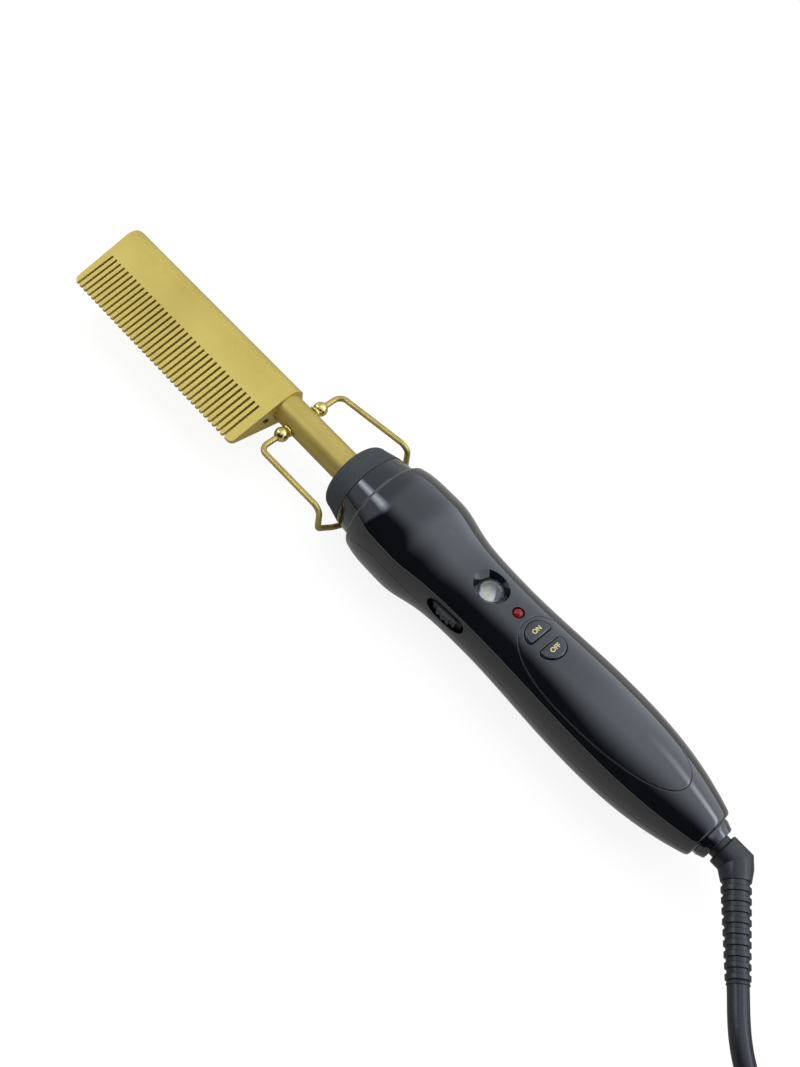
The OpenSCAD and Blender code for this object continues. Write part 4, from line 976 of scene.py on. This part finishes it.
class HOTCOMB_OT_tail(bpy.types.Operator):
    """Makes the faceted nut, the mitred elbow and the ribbed strain relief."""

    bl_idname = "hotcomb.tail"
    bl_label = "Tail"

    def execute(self, context):
        facet_round = 2 * context.scene.hot_comb_sizes.edge_round
        nut = material("gloss_nut_plastic")
        copied("swivel_nut", "faceted_swivel_nut", "handle", nut, sharp=28, rounding=facet_round)
        black = material("black_rubber")
        finished(self.elbow(), "mitred_elbow", "swivel", black, ["swivel_elbow"], sharp=30)
        finished(self.relief(), "ribbed_strain_relief", "swivel", black, ["strain_relief"], sharp=40)
        return {"FINISHED"}

    def elbow(self):
        """The stem and neck, then a tube that turns at a mitred corner."""
        stem, leg, corner = Vector((1, 0, 0)), RELIEF_DIR, Vector((ELBOW_CORNER_X, 0, 0))
        mitre = (leg + stem).normalized()
        bm, start, chamfer = bmesh.new(), ELBOW_X, 0.35
        face = bmesh.ops.create_circle(bm, cap_ends=True, radius=ELBOW_R - chamfer, segments=64)["verts"]
        bmesh.ops.rotate(bm, verts=face, matrix=Matrix.Rotation(math.pi / 2, 3, "Y"))
        moved(bm, x=start)
        # Each ring: which leg's direction it faces, its distance from the corner and its radius
        rings = [
            (stem, start + chamfer - ELBOW_CORNER_X, ELBOW_R), (stem, 0, ELBOW_R), (leg, chamfer, ELBOW_R),
            (leg, ELBOW_LEG - ELBOW_CONE, ELBOW_R), (leg, ELBOW_LEG, RELIEF_R0),
        ]
        end = bm.faces[:]
        for i, (way, distance, radius) in enumerate(rings):
            made = bmesh.ops.extrude_face_region(bm, geom=end)["geom"]
            if i > 0:
                bmesh.ops.delete(bm, geom=end, context="FACES")
            end = [g for g in made if isinstance(g, bmesh.types.BMFace)]
            for v in new_verts(made):
                flat = v.co - corner
                out = (flat - flat.project(way)).normalized() * radius
                slide = distance if distance else -out.dot(mitre) / way.dot(mitre)
                v.co = corner + out + slide * way
        bmesh.ops.recalc_face_normals(bm, faces=bm.faces[:])
        bends = [e for e in bm.edges if all(abs((v.co - corner).dot(mitre)) < 1e-3 for v in e.verts)]
        bmesh.ops.bevel(
            bm, geom=bends, offset=0.45, offset_type="OFFSET", segments=4, profile=0.5, affect="EDGES",
            material=-1, clamp_overlap=True,
        )
        stem_x, stem_r, inner_x = 127, 3.2, ELBOW_X + 0.6
        neck = [(stem_x, 0), (stem_x, stem_r), (NECK_X0, stem_r), (NECK_X0, NECK_R)]
        neck += [(inner_x, NECK_R), (inner_x, 0)]
        return joined(cleaned(bm), spun(neck, steps=64, closed=False))

    def relief(self):
        pitch, core, soft, lean = RELIEF_LEN / (RELIEF_RIBS + 0.5), 0.5, 0.22, 0.05
        outline, width = [(0, 0), (0, RELIEF_R0 - core)], 0.6 * pitch
        for i in range(RELIEF_RIBS):
            r = RELIEF_R0 + (RELIEF_R1 - RELIEF_R0) * (i + 1) / RELIEF_RIBS
            x0 = (i + 0.5) * pitch
            x1 = x0 + width
            outline += [(x0, r - core), (x0 + lean, r - soft), (x0 + soft, r)]
            outline += [(x1 - soft, r), (x1 - lean, r - soft), (x1, r - core)]
        outline += [(RELIEF_LEN - 0.15, RELIEF_R1 - core / 2), (RELIEF_LEN, RELIEF_R1 - core), (RELIEF_LEN, 0)]
        sleeve = turned(spun(outline, steps=72, closed=False), -LEAD_TURN)
        return moved(sleeve, x=ELBOW_CORNER_X + ELBOW_LEG * RELIEF_DIR.x, y=ELBOW_LEG * RELIEF_DIR.y)


INNER_PARTS = {
    "fired_ceramic": ["heater_core", "heater_sleeve", "thermal_fuse"],
    "woven_sleeving": ["heater_leads", "mains_leads"],
    "black_component_resin": [
        "potentiometer", "push_switches", "on_plunger", "off_plunger", "power_switch_chip", "control_chip",
    ],
    "green_solder_mask": ["circuit_board"],
    "ochre_capacitor_case": ["capacitor"],
    "copper_contacts": ["contact_brushes", "contact_rings"],
    "zinc_plated_steel": ["wheel_spindle", "board_screws", "swivel_clip"],
}


class HOTCOMB_OT_inside(bpy.types.Operator):
    """Gives the parts inside the handle and head their materials."""

    bl_idname = "hotcomb.inside"
    bl_label = "Inner parts"

    def execute(self, context):
        for name, nodes in INNER_PARTS.items():
            for node in nodes:
                dress(node, material(name))
        return {"FINISHED"}


def seen(tree, *kinds):
    """1 on rays of the given kinds, else 0; returns its output."""
    path = new_node(tree, "LightPath")
    level = path.outputs[f"Is {kinds[0]} Ray"]
    for kind in kinds[1:]:
        level = math_node(tree, "MAXIMUM", level, path.outputs[f"Is {kind} Ray"])
    return level


def stage_material(name, base, glow):
    """A matt material without gloss that shines with the glow; returns it, its tree and its shader."""
    made, tree, shader = blank_material(name)
    fed(tree, shader, Base_Color=base, Roughness=1.0, Specular_IOR_Level=0.0, Emission_Color=glow)
    return made, tree, shader


class HOTCOMB_OT_stage(bpy.types.Operator):
    """Sets the pale floor, the surround and the lamps."""

    bl_idname = "hotcomb.stage"
    bl_label = "Stage"

    def execute(self, context):
        stage = context.scene.hot_comb_stage
        bm = bmesh.new()
        bmesh.ops.create_grid(bm, x_segments=8, y_segments=8, size=6)
        floor = mesh_object(moved(bm, z=-0.0002), "floor")
        floor.data.materials.append(self.floor_material())
        self.tent(stage)
        self.lamp("soft_box", stage.soft_box, (2.6, 1.9), (0.1, 0.75, 1.15))
        self.lamp("side_box", stage.side_box, (0.5, 0.9), (-1.2, -0.5, 0.7))
        world = bpy.data.worlds.new("surround")
        context.scene.world = world
        world.use_nodes = True
        tree = world.node_tree
        backdrop = seen(tree, "Camera", "Glossy", "Transmission")
        strength = math_node(tree, "MULTIPLY_ADD", backdrop, 1.0 - stage.surround, stage.surround)
        fed(tree, tree.nodes["Background"], Color=(1, 1, 1, 1), Strength=strength)
        return {"FINISHED"}

    def floor_material(self):
        made, tree, shader = stage_material("pale_floor", (0.25, 0.25, 0.25, 1), (1, 1, 1, 1))
        glow = math_node(tree, "MULTIPLY", seen(tree, "Camera", "Glossy", "Transmission"), 0.85)
        mirrored = math_node(tree, "MULTIPLY", seen(tree, "Glossy"), 0.68)
        fed(tree, shader, Emission_Strength=math_node(tree, "SUBTRACT", glow, mirrored))
        return made

    def tent(self, stage):
        """A curved screen along X that only reflections show: bright above, dark at the front."""
        radius, half_len = 1.4, 2.4
        bm = bmesh.new()
        verts = [bm.verts.new((-half_len, -y, z)) for z, y in arc((0, 0), (radius, radius), -92, 88, 45)]
        edges = [bm.edges.new(pair) for pair in zip(verts, verts[1:])]
        far = bmesh.ops.extrude_edge_only(bm, edges=edges)["geom"]
        bmesh.ops.translate(bm, verts=new_verts(far), vec=(2 * half_len, 0, 0))
        screen = mesh_object(bm, "reflected_tent")
        screen.data.materials.append(self.tent_material(stage))
        screen.visible_camera = screen.visible_diffuse = False
        screen.visible_shadow = screen.visible_transmission = False
        return screen

    def tent_material(self, stage):
        """Brightness by the angle from overhead to the front; its edge is soft behind the handle."""
        made, tree, shader = stage_material("tent_cloth", (0, 0, 0, 1), (0.9, 0.97, 1.1, 1))
        place = new_node(tree, "TexCoord").outputs["Object"]
        split = new_node(tree, "SeparateXYZ", Vector=place)
        calc = partial(math_node, tree)
        forward = calc("MULTIPLY", split.outputs["Y"], -1.0)
        angle = calc("ARCTAN2", forward, split.outputs["Z"])
        along = split.outputs["X"]
        # Behind the handle the dark edge is soft; the tail and the front have their own edge and strip
        soft = calc("MULTIPLY_ADD", along, 2.4, 1.0, clamp=True)
        tail = calc("MULTIPLY_ADD", along, 1.2, -0.2, clamp=True)
        front = calc("MULTIPLY_ADD", along, -4.0, -2.4, clamp=True)
        width = calc("MULTIPLY_ADD", soft, 0.75, 0.65)
        start = calc("MULTIPLY_ADD", soft, -0.32, 0.04)
        start = calc("MULTIPLY_ADD", tail, -0.3, start)
        start = calc("MULTIPLY_ADD", front, 1.0, start)
        fall = calc("DIVIDE", calc("SUBTRACT", angle, start), width, clamp=True)
        mid = calc("MULTIPLY", fall, fall)
        eased = calc("MULTIPLY", mid, calc("MULTIPLY_ADD", fall, -2.0, 3.0))
        bright = calc("MULTIPLY_ADD", soft, 0.62, 1.0)
        bright = calc("MULTIPLY_ADD", front, -0.35, bright)
        bright = calc("MULTIPLY", bright, stage.tent)
        level = calc("MULTIPLY", bright, calc("SUBTRACT", 1.0, eased))
        level = calc("MAXIMUM", level, stage.tent_dark)
        strip_gain = 4.2
        for centre, half, where in ((-0.72, 0.2, tail), (0.45, 0.22, front)):
            off = calc("ABSOLUTE", calc("SUBTRACT", angle, centre))
            strip = calc("MULTIPLY_ADD", off, -1 / half, 1.0, clamp=True)
            level = calc("MULTIPLY_ADD", calc("MULTIPLY", strip, where), strip_gain, level)
        fed(tree, shader, Emission_Strength=level)
        return made

    def lamp(self, name, power, size, place):
        light = bpy.data.lights.new(name, "AREA")
        light.shape, light.size, light.size_y, light.energy = "RECTANGLE", *size, power
        lamp = bpy.data.objects.new(name, light)
        lamp.location = place
        lamp.rotation_euler = (Vector((0.05, 0, 0.02)) - Vector(place)).to_track_quat("-Z", "Y").to_euler()
        lamp.visible_camera = lamp.visible_glossy = False
        bpy.context.scene.collection.objects.link(lamp)


OPERATORS = (
    HOTCOMB_OT_camera, HOTCOMB_OT_lead, HOTCOMB_OT_comb, HOTCOMB_OT_neck, HOTCOMB_OT_stand, HOTCOMB_OT_handle,
    HOTCOMB_OT_controls, HOTCOMB_OT_tail, HOTCOMB_OT_inside, HOTCOMB_OT_stage,
)


class HOTCOMB_PT_panel(bpy.types.Panel):
    """Lists the steps and the values of the hot comb."""

    bl_idname = "HOTCOMB_PT_panel"
    bl_label = "Hot Comb"
    bl_space_type = "VIEW_3D"
    bl_region_type = "UI"
    bl_category = "Hot Comb"

    def draw(self, context):
        for operator in OPERATORS:
            self.layout.operator(operator.bl_idname)
        for values in VALUES:
            group, box = getattr(context.scene, values), self.layout.box()
            for name in group.__annotations__:
                box.prop(group, name)


VALUES = {"hot_comb_finish": HotCombFinish, "hot_comb_sizes": HotCombSizes, "hot_comb_stage": HotCombStage}
CLASSES = (*VALUES.values(), *OPERATORS, HOTCOMB_PT_panel)


def register():
    for cls in CLASSES:
        bpy.utils.register_class(cls)
    for name, group in VALUES.items():
        setattr(bpy.types.Scene, name, PointerProperty(type=group))


def unregister():
    for name in VALUES:
        delattr(bpy.types.Scene, name)
    for cls in reversed(CLASSES):
        bpy.utils.unregister_class(cls)


def main():
    register()
    for operator in OPERATORS:
        getattr(bpy.ops.hotcomb, operator.bl_idname.split(".")[1])()
    bpy.context.scene.view_settings.view_transform = "Standard"


if __name__ == "__main__":
    main()
